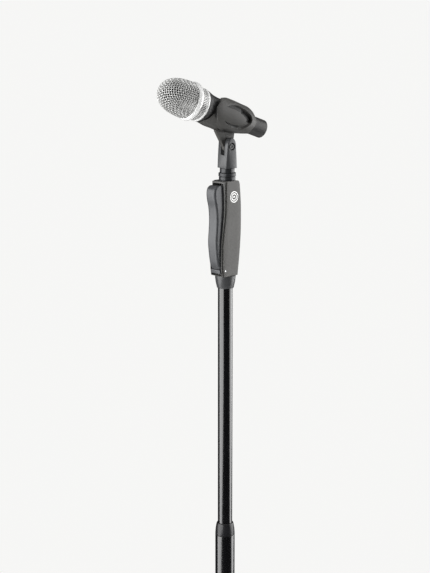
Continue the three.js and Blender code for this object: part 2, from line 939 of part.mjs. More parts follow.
// Front edge of each cheek as (station, rise) pairs, from its top corner round to the belly.
const cheekEdge = [[26, 23], [44.5, 16], [47.6, 9.5], [clipFront, 4.5], [48.8, -1], [45.8, -7.7], [40, -15],
  [32.8, -20.4], [22, -23.5]]

// Upper edge of the lip as (station, rise) pairs, from the cheek to the lip's front.
const lipEdge = [[clipFront, -1], [50.5, -13], [lipFront + 0.5, -17.5]]

// Inside of the two cheeks as (radius, station) pairs.
const hollowRadii = [[13.5, -12], [16.6, -6], [18.6, 4], [19.8, 16], [20.8, 28], [21.8, 40], [22, lipFront]]

// Outside of the microphone's handle as (radius, station) pairs.
const handleRadii = [[tailRadius - 0.8, micTail], [tailRadius, micTail + 1], [12.4, -30], [13.4, -14],
  [15.2, 10], [16.6, 28], [17.6, 41], [18.7, 49], [20.4, 55], [21.6, 59], [21.4, handleEnd]]

// Closes a line of (radius, station) pairs onto the axis, with its radius made larger or smaller.
function capped(line, grow) {
  const grown = line.map(([radius, station]) => [radius + grow, station])
  return [[0, line[0][1]], ...grown, [0, line[line.length - 1][1]]]
}

function micSpace() {
  const grown = handleRadii.map(([radius, station]) => [radius + fit, station])
  return solid(alongMic([[0, -60], [tailRadius + fit, -60], ...grown.slice(1), [0, handleEnd]], 28))
}

function ellipseBar(length, height, centre, centreRise) {
  const outline = []
  for (let i = 0; i < 24; i += 1) {
    const angle = (i / 24) * 2 * Math.PI
    outline.push([(length / 2) * Math.cos(angle) - centre, axisRise + centreRise + (height / 2) * Math.sin(angle)])
  }
  return solid(slab(outline, 80))
}

function clipShell() {
  const back = clipRadii[0][1]
  const under = axisRise - 30
  const outer = solid(alongMic(capped(clipRadii, 0), 36))
  const hollow = solid(alongMic(capped(hollowRadii, 0), 28))
  const upper = solid(block(-40, 40, -lipFront - 1, 40, axisRise - 9, axisRise + 60))
  const beyond = lipFront + 6
  const mouth = [...cheekEdge.slice(0, 4), ...lipEdge, [beyond, -17.5], [beyond, 30]]
  const frontCut = solid(slab(mouth.map(([station, rise]) => [-station, axisRise + rise]), 80))
  const below = [...cheekEdge.slice(3), [22, -40], [beyond, -40], [beyond, 4.5]]
  const lipZone = solid(slab(below.map(([station, rise]) => [-station, axisRise + rise]), 80))
  const lipCore = solid(alongMic(capped(clipRadii, -lipInset), 36))
  const belly = solid(slab([[-15, axisRise - 23.5], [21, axisRise - 13.6], [30, under], [-15, under]], 80))
  const half = clipSlotWidth / 2
  const topSlot = solid(block(-half, half, -lipFront - 1, 60, axisRise + 4, axisRise + 60))
  const pad = ellipseBar(padLength, padHeight, padCentre, padRise)
  const groove = ellipseBar(eyeLength, eyeHeight, eyeCentre, eyeRise).subtract(pad)
  const core = solid(alongMic(capped(clipRadii, -eyeDepth), 28))
  const frontEnd = solid(block(-60, 60, -80, -clipFront + 6.5, -40, 100))
  const ends = frontEnd.add(solid(block(-60, 60, -back - 4, 60, -40, 100)))
  let body = outer.subtract(lipZone.subtract(lipCore))
  body = body.subtract(hollow.intersect(upper)).subtract(frontCut).subtract(topSlot)
  body = body.subtract(groove.subtract(core).subtract(ends)).subtract(belly)
  body = body.add(clipEar().intersect(solid(block(-40, 40, -60, 60, -20, axisRise - 17))))
  return fromSolid(body.subtract(micSpace()))
}

function clipEar() {
  const web = solid(slab([[-25, 14], [-22, 20.5], [4, 20.5], [5.6, 13], [6, 0], [-6.6, -2]], earWeb))
  const rib = solid(slab([[-26.5, 13.2], [-23, 20.5], [-18.4, 20.5], [-3, 3], [-7.2, -3.4]], earThickness))
  const hub = solid(crossBar(earHubRadius, -earThickness / 2, earThickness / 2, 0, 0, 32))
  return web.add(rib).add(hub).subtract(solid(crossBar(pivotRadius + fit, -20, 20, 0, 0)))
}

// ---- microphone ----

function micHandle() {
  const outline = [
    [tailBore, micTail],
    ...handleRadii,
    [spigotRadius, handleEnd],
    [spigotRadius, spigotEnd],
    [headBore, spigotEnd],
    [headBore, handleEnd - 14],
    [bodyBore, handleEnd - 32],
    [bodyBore, insertStart + insertThickness + 1],
    [tailBore, insertStart + insertThickness + 1],
    [tailBore, micTail],
  ]
  return alongMic(outline, 32)
}

function contactPlaces() {
  return [210, 330, 90].map(angle => {
    const turn = (angle * Math.PI) / 180
    return [contactSpread * Math.cos(turn), contactSpread * Math.sin(turn)]
  })
}

function connectorInsert() {
  const shape = new THREE.Shape()
  shape.absarc(0, 0, tailBore - fit, 0, 2 * Math.PI)
  for (const [x, z] of contactPlaces()) {
    const hole = new THREE.Path()
    hole.absarc(x, z, contactRadius + 0.25, 0, 2 * Math.PI)
    shape.holes.push(hole)
  }
  const geometry = new THREE.ExtrudeGeometry(shape, {
    depth: insertThickness,
    bevelEnabled: false,
    curveSegments: 8,
  })
  geometry.rotateX(Math.PI / 2)
  geometry.translate(0, -insertStart, axisRise)
  return geometry
}

function connectorContact([x, z]) {
  const geometry = rod(contactRadius, 0, insertThickness + contactReach, 10)
  geometry.rotateX(Math.PI / 2)
  geometry.translate(x, -insertStart + contactReach, axisRise + z)
  return geometry
}

function rearRing() {
  const outline = [
    [ringBore, rearRingStart],
    [rearRingRadius - 0.7, rearRingStart],
    [rearRingRadius, rearRingStart + 0.9],
    [rearRingRadius, rearRingEnd - 0.9],
    [rearRingRadius - 0.7, rearRingEnd],
    [ringBore, rearRingEnd],
    [ringBore, rearRingStart],
  ]
  return alongMic(outline, 36)
}

function frontRing() {
  const middle = (frontRingStart + frontRingEnd) / 2
  const half = (frontRingEnd - frontRingStart) / 2
  const outline = [[ringBore, frontRingStart]]
  for (let i = 0; i <= 6; i += 1) {
    const angle = -Math.PI / 2 + (i / 6) * Math.PI
    outline.push([frontRingRadius - 2.4 + 2.4 * Math.cos(angle), middle + half * Math.sin(angle)])
  }
  outline.push([ringBore, frontRingEnd], [ringBore, frontRingStart])
  return alongMic(outline, 36)
}

// Outside of the wire basket as (radius, station) pairs.
const grilleRadii = [[24.6, grilleStart], [24.6, 90], [23.8, 99], [22.2, 106.5], [19.8, 113],
  [16.4, 118.8], [11.8, 122.8], [5.6, 125.2], [0, 125.7]]

function domeShell(outset, wall, segments) {
  const moved = shift => grilleRadii.map(([radius, station]) => [Math.max(radius + shift, 0), station + shift])
  const outer = moved(outset)
  const inner = moved(outset - wall)
  outer[0][1] = grilleStart
  inner[0][1] = grilleStart
  return alongMic([...outer, ...inner.reverse(), outer[0]], segments)
}

// ---- assembly ----

const black = 0x17181a
const steel = 0xb9bdc1

const baseGroup = new THREE.Group()
baseGroup.name = 'base_group'
group.add(baseGroup)
add(baseGroup, 'base_plate', basePlate(), 0x1b1c1e, 0.6, 0.4)
add(baseGroup, 'base_rubber_ring', baseRubberRing(), 0x101010, 0.9, 0)
add(baseGroup, 'base_bolt', baseBolt(), steel, 0.35, 0.9)
const washerTop = counterboreTop - fit
const washer = pipe(boltRadius + fit, washerRadius, washerTop - washerThickness, washerTop, 28)
add(baseGroup, 'base_washer', washer, steel, 0.4, 0.9)
add(baseGroup, 'foot_plug', footPlug(), 0x4a4c4f, 0.5, 0.7)
add(baseGroup, 'foot_collar', footCollar(), black, 0.4, 0.3)
const lowerTube = pipe(lowerTubeBore, lowerTubeRadius, tubeBottom, lowerTubeTop, 32)
add(baseGroup, 'lower_tube', lowerTube, 0x141517, 0.3, 0.6)
add(baseGroup, 'coupling_collar', couplingCollar(), black, 0.35, 0.3)
add(baseGroup, 'guide_bush', guideBush(), 0xd8d4c8, 0.5, 0)

const mast = new THREE.Group()
mast.name = 'mast_group'
group.add(mast)
const upperTube = pipe(upperTubeBore, upperTubeRadius, upperTubeBottom, upperTubeTop, 32)
add(mast, 'upper_tube', upperTube, 0x141517, 0.28, 0.6)
const ringFoot = upperTubeBottom + 4
const ringHead = ringFoot + glideRingLength
const glideBore = upperTubeRadius + fit
add(mast, 'glide_ring', pipe(glideBore, lowerTubeBore - fit, ringFoot, ringHead, 24), 0xd8d4c8, 0.5, 0)
const snapFoot = ringHead + fit
const snapRing = pipe(glideBore, lowerTubeBore - 2 * fit, snapFoot, snapFoot + snapRingThickness, 24)
add(mast, 'snap_ring', snapRing, steel, 0.4, 0.9)
add(mast, 'clutch_body', clutchBody(), 0x9a9da0, 0.5, 0.8)
for (let i = 0; i < shoeCount; i += 1) {
  const shoe = add(mast, 'brake_shoe_' + (i + 1), brakeShoe(), 0x5b4434, 0.9, 0)
  shoe.rotation.z = (i * 2 * Math.PI) / shoeCount
}
add(mast, 'release_rod', rod(rodRadius, rodBottom, rodHeadTop - 1.4 - fit, 16), steel, 0.35, 0.9)
add(mast, 'wedge_cone', wedgeCone(), 0xb08d4a, 0.4, 0.9)
add(mast, 'rod_nut', rodNut(), steel, 0.35, 0.9)
add(mast, 'rod_head', rodHead(), steel, 0.35, 0.9)
const rodGuide = pipe(rodRadius + fit, upperTubeBore - fit, guideBottom, guideTop, 28)
add(mast, 'rod_guide', rodGuide, 0x2a2b2d, 0.6, 0)
add(mast, 'return_spring', returnSpring(), 0xa8acb0, 0.35, 0.9)
add(mast, 'taper_sleeve', taperSleeve(), black, 0.4, 0.3)
add(mast, 'housing_frame', housingFrame(), 0x1e1f21, 0.5, 0.3)
add(mast, 'side_cover_right', sideCover(1), 0x3c3b39, 0.55, 0.2)
add(mast, 'side_cover_left', sideCover(-1), 0x3c3b39, 0.55, 0.2)
coverScrewZs.forEach((height, i) => add(mast, 'cover_screw_' + (i + 1), coverScrew(height), 0x2c2d2f, 0.35, 0.9))
add(mast, 'badge_disc', badge(), 0xc4c8cc, 0.3, 0.9)
add(mast, 'lever_pin', pivotPin(), 0xd0d3d6, 0.25, 0.9)
add(mast, 'lever_body', leverBody(), 0x46484b, 0.4, 0.4)
add(mast, 'lever_pad', leverPad(), 0x505356, 0.4, 0.4)

const head = new THREE.Group()
head.name = 'head_group'
head.position.y = neckY
mast.add(head)
const stud = add(mast, 'neck_stud', neckStud(), 0x2a2b2d, 0.35, 0.8)
stud.position.y = neckY
add(head, 'lock_nut', lockNut(), 0x232426, 0.4, 0.7)

const yokeGroup = new THREE.Group()
yokeGroup.name = 'yoke_group'
yokeGroup.rotation.z = THREE.MathUtils.degToRad(headTurn)
head.add(yokeGroup)
add(yokeGroup, 'yoke', yoke(), 0x2c2d2f, 0.45, 0.3)
add(yokeGroup, 'thread_insert', threadInsert(), 0x3a3b3d, 0.4, 0.8)
add(yokeGroup, 'pivot_bolt', pivotBolt(), 0x55585b, 0.35, 0.9)
add(yokeGroup, 'pivot_nut', pivotNut(), 0x55585b, 0.35, 0.9)
add(yokeGroup, 'pivot_washer_right', pivotWasher(1), 0x8a8d90, 0.4, 0.8)
add(yokeGroup, 'pivot_washer_left', pivotWasher(-1), 0x8a8d90, 0.4, 0.8)

const clip = new THREE.Group()
clip.name = 'clip_group'
clip.position.z = pivotZ
clip.rotation.x = THREE.MathUtils.degToRad(headTilt)
yokeGroup.add(clip)
add(clip, 'clip_shell', clipShell(), 0x3a3937, 0.75, 0)

const mic = new THREE.Group()
mic.name = 'microphone_group'
clip.add(mic)
add(mic, 'mic_handle', micHandle(), 0x2c2c2d, 0.55, 0.4)
add(mic, 'connector_insert', connectorInsert(), 0x1a1a1b, 0.7, 0)
contactPlaces().forEach((place, i) => {
  add(mic, 'connector_contact_' + (i + 1), connectorContact(place), 0xd0c9a8, 0.3, 0.9)
})
add(mic, 'rear_ring', rearRing(), 0xe4e5e6, 0.2, 0.9)
const bandStart = rearRingEnd + 0.4
const bandOutline = [
  [ringBore, bandStart],
  [bandRadius, bandStart],
  [bandRadius, bandEnd],
  [ringBore, bandEnd],
  [ringBore, bandStart],
]
add(mic, 'grip_band', alongMic(bandOutline, 36), 0xa9acaf, 0.35, 0.9)
add(mic, 'front_ring', frontRing(), 0xe4e5e6, 0.2, 0.9)
add(mic, 'grille', domeShell(0, grilleWall, 32), 0xc4c7ca, 0.35, 0.9)
add(mic, 'foam_liner', domeShell(-grilleWall - fit, foamWall, 20), 0x161616, 0.95, 0)
const capsuleOutline = [
  [0, capsuleStart],
  [capsuleRadius, capsuleStart],
  [capsuleRadius, capsuleEnd],
  [0, capsuleEnd],
]
add(mic, 'capsule', alongMic(capsuleOutline, 24), 0x8d8f91, 0.5, 0.6)
const mountStart = spigotEnd + 0.4
const mountOutline = [
  [0, mountStart],
  [mountRadius, mountStart],
  [mountRadius, mountStart + 3],
  [capsuleRadius, capsuleStart - fit],
  [0, capsuleStart - fit],
]
add(mic, 'shock_mount', alongMic(mountOutline, 20), 0x1a1a1b, 0.9, 0)

export default group
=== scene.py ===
import math
import bpy
import bmesh
import numpy as np
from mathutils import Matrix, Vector


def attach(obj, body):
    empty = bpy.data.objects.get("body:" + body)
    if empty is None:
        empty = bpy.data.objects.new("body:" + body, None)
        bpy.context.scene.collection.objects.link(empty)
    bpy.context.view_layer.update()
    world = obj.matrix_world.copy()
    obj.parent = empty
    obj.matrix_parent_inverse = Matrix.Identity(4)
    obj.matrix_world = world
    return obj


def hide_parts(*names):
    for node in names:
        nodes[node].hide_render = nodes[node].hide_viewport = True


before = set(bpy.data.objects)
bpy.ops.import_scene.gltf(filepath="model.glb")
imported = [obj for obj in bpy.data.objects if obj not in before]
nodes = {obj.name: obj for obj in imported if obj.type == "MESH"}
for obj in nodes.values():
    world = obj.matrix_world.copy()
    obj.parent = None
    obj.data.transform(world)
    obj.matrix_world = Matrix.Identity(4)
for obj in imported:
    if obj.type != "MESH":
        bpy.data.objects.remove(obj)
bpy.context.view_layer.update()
scene = bpy.context.scene
scene.view_settings.view_transform = "Standard"
scene.view_settings.look = "None"
print("frame loaded:", len(nodes), "solids")

mm = 0.001

# ---------- where things are ----------
# The stand's axis is Z. The head stands a little behind it, turned about Z and tipped back.
headPlace = {"neckY": 3.2, "turn": -9.0, "tilt": 20.0, "pivotZ": 1423.4, "axisRise": 37.5}

turnRad = math.radians(headPlace["turn"])
tiltRad = math.radians(headPlace["tilt"])
sideDir = np.array([math.cos(turnRad), math.sin(turnRad), 0.0])
levelDir = np.array([math.sin(turnRad), -math.cos(turnRad), 0.0])
upZ = np.array([0.0, 0.0, 1.0])
micDir = math.cos(tiltRad) * levelDir + math.sin(tiltRad) * upZ
micUp = -math.sin(tiltRad) * levelDir + math.cos(tiltRad) * upZ
neckFoot = np.array([0.0, headPlace["neckY"], 0.0])
pivotPoint = neckFoot + upZ * headPlace["pivotZ"]
micPoint = pivotPoint + micUp * headPlace["axisRise"]

# a place is (origin in mm, axis, first side, second side)
mastPlace = (np.zeros(3), upZ, np.array([1.0, 0, 0]), np.array([0, 1.0, 0]))
neckPlace = (neckFoot, upZ, sideDir, -levelDir)
micPlace = (micPoint, micDir, sideDir, micUp)


# ---------- camera, lights, floor ----------

cameraSet = {"azimuth": 45.0, "away": 1.989, "height": 1.6424, "down": 11.6, "aside": -0.0139,
             "lens": 94.74}


def setCamera(spec):
    az = math.radians(spec["azimuth"])
    down = math.radians(spec["down"])
    data = bpy.data.cameras.new("standCamera")
    data.lens = spec["lens"]
    data.sensor_width = 36.0
    data.clip_start = 0.02
    data.clip_end = 60.0
    camera = bpy.data.objects.new("standCamera", data)
    scene.collection.objects.link(camera)
    right = Vector((math.cos(az), math.sin(az), 0.0))
    outward = Vector((math.sin(az), -math.cos(az), 0.0))
    camera.location = outward * spec["away"] + Vector((0, 0, spec["height"])) + right * spec["aside"]
    look = -outward * math.cos(down) - Vector((0, 0, math.sin(down)))
    camera.rotation_euler = look.to_track_quat("-Z", "Y").to_euler()
    scene.camera = camera


lightSet = {
    "leftBox": {"azimuth": -22, "away": 2.2, "height": 1.35, "wide": 3.0, "tall": 2.8, "watts": 104,
                "mirrored": True},
    "rightBox": {"azimuth": 147, "away": 2.3, "height": 1.35, "wide": 2.75, "tall": 2.8, "watts": 80,
                 "mirrored": True},
    "frontFill": {"azimuth": 55, "away": 2.4, "height": 1.4, "wide": 1.8, "tall": 2.0, "watts": 14,
                  "mirrored": False},
}
topSet = {"height": 3.3, "wide": 2.2, "watts": 12, "shiftX": -0.2, "shiftY": -0.3}


def addLight(name, spec):
    data = bpy.data.lights.new(name, "AREA")
    data.shape = "RECTANGLE"
    data.size = spec["wide"]
    data.size_y = spec["tall"]
    data.energy = spec["watts"]
    light = bpy.data.objects.new(name, data)
    az = math.radians(spec["azimuth"])
    spot = Vector((math.sin(az) * spec["away"], -math.cos(az) * spec["away"], spec["height"]))
    light.location = spot
    light.rotation_euler = (Vector((0, 0, spec["height"] - 0.05)) - spot).to_track_quat("-Z",
                                                                                        "Z").to_euler()
    light.visible_camera = False
    light.visible_glossy = spec["mirrored"]  # fills lift the shade and stay out of the gloss
    scene.collection.objects.link(light)


def addTopLight(spec):
    data = bpy.data.lights.new("topBox", "AREA")
    data.shape = "SQUARE"
    data.size = spec["wide"]
    data.energy = spec["watts"]
    light = bpy.data.objects.new("topBox", data)
    light.location = (spec["shiftX"], spec["shiftY"], spec["height"])
    light.visible_camera = False
    scene.collection.objects.link(light)


# The room is seen as a pale wall, and lights the object as a dim room with a bright ceiling.
roomSet = {"wall": (0.925, 0.925, 0.915), "low": 0.03, "high": 0.35, "floorRadius": 1.85,
           "floorPale": 0.78}


def setRoom(spec):
    world = bpy.data.worlds.new("room")
    scene.world = world
    world.use_nodes = True
    tree = world.node_tree
    tree.nodes.clear()
    out = tree.nodes.new("ShaderNodeOutputWorld")
    seen = tree.nodes.new("ShaderNodeBackground")
    seen.inputs["Color"].default_value = (*spec["wall"], 1)
    felt = tree.nodes.new("ShaderNodeBackground")
    mix = tree.nodes.new("ShaderNodeMixShader")
    path = tree.nodes.new("ShaderNodeLightPath")
    coord = tree.nodes.new("ShaderNodeTexCoord")
    split = tree.nodes.new("ShaderNodeSeparateXYZ")
    rise = tree.nodes.new("ShaderNodeMapRange")
    rise.interpolation_type = "SMOOTHSTEP"
    rise.inputs["From Min"].default_value = 0.1
    rise.inputs["From Max"].default_value = 0.9
    rise.inputs["To Min"].default_value = spec["low"]
    rise.inputs["To Max"].default_value = spec["high"]
    tree.links.new(coord.outputs["Generated"], split.inputs[0])
    tree.links.new(split.outputs["Z"], rise.inputs["Value"])
    tree.links.new(rise.outputs[0], felt.inputs["Strength"])
    tree.links.new(path.outputs["Is Camera Ray"], mix.inputs[0])
    tree.links.new(felt.outputs[0], mix.inputs[1])
    tree.links.new(seen.outputs[0], mix.inputs[2])
    tree.links.new(mix.outputs[0], out.inputs[0])


# ---------- shared shader groups ----------

def newGroup(name, inputs, outputs):
    group = bpy.data.node_groups.new(name, "ShaderNodeTree")
    for label, kind, value in inputs:
        socket = group.interface.new_socket(label, in_out="INPUT", socket_type=kind)
        if value is not None:
            socket.default_value = value
    for label, kind in outputs:
        group.interface.new_socket(label, in_out="OUTPUT", socket_type=kind)
    start = group.nodes.new("NodeGroupInput")
    end = group.nodes.new("NodeGroupOutput")
    return group, start, end


def put(tree, kind, **values):
    node = tree.nodes.new(kind)
    for key, value in values.items():
        if key.startswith("in_"):
            label = key[3:].replace("_", " ")
            node.inputs[label].default_value = value
        else:
            setattr(node, key, value)
    return node


def mathNode(tree, operation, a=None, b=None, clamp=False):
    node = tree.nodes.new("ShaderNodeMath")
    node.operation = operation
    node.use_clamp = clamp
    for slot, value in ((0, a), (1, b)):
        if value is None:
            continue
        if isinstance(value, (int, float)):
            node.inputs[slot].default_value = value
        else:
            tree.links.new(value, node.inputs[slot])
    return node.outputs[0]


def makeFineGrain():
    # two sizes of noise, mixed: Height for bump, Shade for colour
    group, start, end = newGroup("fineGrain",
                                 [("Vector", "NodeSocketVector", None), ("Size", "NodeSocketFloat", 0.4),
                                               ("Rough", "NodeSocketFloat", 0.6)],
                                 [("Height", "NodeSocketFloat"), ("Shade", "NodeSocketFloat")])
    links = group.links
    inverse = mathNode(group, "DIVIDE", 1000.0, start.outputs["Size"])
    fine = put(group, "ShaderNodeTexNoise", in_Detail=4.0)
    links.new(start.outputs["Vector"], fine.inputs["Vector"])
    links.new(inverse, fine.inputs["Scale"])
    links.new(start.outputs["Rough"], fine.inputs["Roughness"])
    cells = put(group, "ShaderNodeTexVoronoi", feature="SMOOTH_F1", in_Smoothness=0.6)
    links.new(start.outputs["Vector"], cells.inputs["Vector"])
    links.new(mathNode(group, "MULTIPLY", inverse, 0.7), cells.inputs["Scale"])
    total = mathNode(group, "ADD", fine.outputs[0],
                     mathNode(group, "MULTIPLY", cells.outputs["Distance"], 0.5))
    links.new(total, end.inputs["Height"])
    links.new(fine.outputs[0], end.inputs["Shade"])
    return group


def makeHandMarks():
    # broad, soft clouds with a few sharper streaks, for uneven gloss where hands have been
    group, start, end = newGroup("handMarks",
                                 [("Vector", "NodeSocketVector", None), ("Size", "NodeSocketFloat", 30.0)],
                                 [("Mask", "NodeSocketFloat")])
    links = group.links
    inverse = mathNode(group, "DIVIDE", 1000.0, start.outputs["Size"])
    broad = put(group, "ShaderNodeTexNoise", in_Detail=5.0, in_Roughness=0.62, in_Distortion=0.8)
    links.new(start.outputs["Vector"], broad.inputs["Vector"])
    links.new(inverse, broad.inputs["Scale"])
    ramp = put(group, "ShaderNodeMapRange", interpolation_type="SMOOTHSTEP")
    ramp.inputs["From Min"].default_value = 0.38
    ramp.inputs["From Max"].default_value = 0.68
    links.new(broad.outputs[0], ramp.inputs["Value"])
    links.new(ramp.outputs[0], end.inputs["Mask"])
    return group


def makeTopDust():
    # more on faces that look up, broken up by noise
    group, start, end = newGroup("topDust",
                                 [("Vector", "NodeSocketVector", None), ("Amount", "NodeSocketFloat", 0.2)],
                                 [("Mask", "NodeSocketFloat")])
    links = group.links
    geometry = group.nodes.new("ShaderNodeNewGeometry")
    split = group.nodes.new("ShaderNodeSeparateXYZ")
    links.new(geometry.outputs["Normal"], split.inputs[0])
    facing = put(group, "ShaderNodeMapRange", interpolation_type="SMOOTHSTEP")
    facing.inputs["From Min"].default_value = 0.25
    facing.inputs["From Max"].default_value = 1.0
    links.new(split.outputs["Z"], facing.inputs["Value"])
    specks = put(group, "ShaderNodeTexNoise", in_Detail=6.0, in_Roughness=0.75, in_Scale=420.0)
    links.new(start.outputs["Vector"], specks.inputs["Vector"])
    broken = put(group, "ShaderNodeMapRange", interpolation_type="SMOOTHSTEP")
    broken.inputs["From Min"].default_value = 0.35
    broken.inputs["From Max"].default_value = 0.75
    links.new(specks.outputs[0], broken.inputs["Value"])
    product = mathNode(group, "MULTIPLY", facing.outputs[0], broken.outputs[0])
    links.new(mathNode(group, "MULTIPLY", product, start.outputs["Amount"], True), end.inputs["Mask"])
    return group


fineGrain = makeFineGrain()
handMarks = makeHandMarks()
topDust = makeTopDust()

# One entry per finish. grain is the size in mm of the fine texture, marks the spread of gloss; recess lets
# the mesh darken the colour with painted shade.
finishes = {
    "tubeEnamel": {"color": (0.002, 0.002, 0.0025), "second": (0.004, 0.004, 0.005), "metal": 0.0,
                   "rough": 0.2,
        "marks": 0.03, "grain": 0.35, "bump": 0.0002, "coat": 1.0, "dust": 0.04},
    "collarPlastic": {"color": (0.009, 0.009, 0.01), "second": (0.014, 0.014, 0.016), "metal": 0.0,
                      "rough": 0.28,
        "marks": 0.04, "grain": 0.3, "bump": 0.01, "dust": 0.06},
    "framePlastic": {"color": (0.085, 0.084, 0.08), "second": (0.1, 0.099, 0.095), "metal": 0.0,
                     "rough": 0.42,
        "marks": 0.06, "grain": 0.25, "bump": 0.02, "dust": 0.06},
    "coverPlastic": {"color": (0.068, 0.066, 0.0615), "second": (0.084, 0.0815, 0.0765), "metal": 0.0,
                     "rough": 0.5,
        "marks": 0.06, "grain": 0.22, "bump": 0.025, "dust": 0.05},
    "leverPaint": {"color": (0.055, 0.057, 0.061), "second": (0.075, 0.077, 0.082), "metal": 0.25,
                   "rough": 0.4,
        "marks": 0.06, "grain": 0.2, "bump": 0.015, "coat": 0.1, "dust": 0.05},
    "yokePlastic": {"color": (0.042, 0.0435, 0.046), "second": (0.056, 0.0575, 0.06), "metal": 0.0,
                    "rough": 0.34,
        "marks": 0.05, "grain": 0.3, "bump": 0.012, "coat": 0.1, "dust": 0.06},
    "neckMetal": {"color": (0.022, 0.023, 0.025), "second": (0.036, 0.037, 0.04), "metal": 0.3,
                  "rough": 0.24,
        "marks": 0.05, "grain": 0.3, "bump": 0.012, "dust": 0.05},
    "clipRubber": {"color": (0.046, 0.0445, 0.0415), "second": (0.063, 0.0615, 0.0575), "metal": 0.0,
                   "rough": 0.52,
        "marks": 0.07, "grain": 0.28, "bump": 0.03, "dust": 0.05, "recess": True},
    "handlePaint": {"color": (0.034, 0.0335, 0.033), "second": (0.048, 0.0475, 0.047), "metal": 0.3,
                    "rough": 0.46,
        "marks": 0.06, "grain": 0.18, "bump": 0.02, "dust": 0.08},
    "ringChrome": {"color": (0.96, 0.96, 0.95), "second": (0.9, 0.9, 0.89), "metal": 0.1, "rough": 0.3,
        "marks": 0.05, "grain": 0.4, "bump": 0.01},
    "bandSteel": {"color": (0.7, 0.7, 0.69), "second": (0.6, 0.6, 0.59), "metal": 0.3, "rough": 0.28,
        "marks": 0.06, "grain": 0.3, "bump": 0.03, "recess": True},
    "wireSteel": {"color": (0.66, 0.66, 0.65), "second": (0.56, 0.56, 0.55), "metal": 0.5, "rough": 0.26,
        "marks": 0.08, "grain": 0.3, "bump": 0.02},
    "brightSteel": {"color": (0.62, 0.63, 0.65), "second": (0.5, 0.51, 0.53), "metal": 1.0, "rough": 0.26,
        "marks": 0.06, "grain": 0.25, "bump": 0.03},
    "darkSteel": {"color": (0.1, 0.1, 0.1), "second": (0.07, 0.07, 0.07), "metal": 0.8, "rough": 0.35,
        "marks": 0.06, "grain": 0.25, "bump": 0.02},
    "badgeMetal": {"color": (0.74, 0.74, 0.73), "second": (0.64, 0.64, 0.63), "metal": 0.4, "rough": 0.3,
        "marks": 0.05, "grain": 0.25, "bump": 0.02},
    "castIron": {"color": (0.016, 0.0165, 0.018), "second": (0.026, 0.0265, 0.028), "metal": 0.0,
                 "rough": 0.5,
        "marks": 0.12, "grain": 0.9, "bump": 0.25, "dust": 0.22},
    "softRubber": {"color": (0.012, 0.012, 0.012), "second": (0.022, 0.021, 0.021), "metal": 0.0,
                   "rough": 0.72,
        "marks": 0.08, "grain": 0.5, "bump": 0.1, "dust": 0.12},
    "openFoam": {"color": (0.006, 0.006, 0.006), "second": (0.02, 0.02, 0.02), "metal": 0.0, "rough": 0.95,
        "marks": 0.04, "grain": 0.7, "bump": 0.6},
    "paleNylon": {"color": (0.62, 0.6, 0.53), "second": (0.54, 0.52, 0.46), "metal": 0.0, "rough": 0.45,
        "marks": 0.1, "grain": 0.3, "bump": 0.03},
    "brakeLining": {"color": (0.09, 0.06, 0.045), "second": (0.14, 0.1, 0.07), "metal": 0.0, "rough": 0.85,
        "marks": 0.1, "grain": 0.8, "bump": 0.3},
    "turnedBrass": {"color": (0.62, 0.44, 0.17), "second": (0.5, 0.35, 0.13), "metal": 1.0, "rough": 0.26,
        "marks": 0.12, "grain": 0.3, "bump": 0.03},
    "turnedAlloy": {"color": (0.5, 0.51, 0.52), "second": (0.42, 0.43, 0.44), "metal": 1.0, "rough": 0.34,
        "marks": 0.12, "grain": 0.3, "bump": 0.04},
}


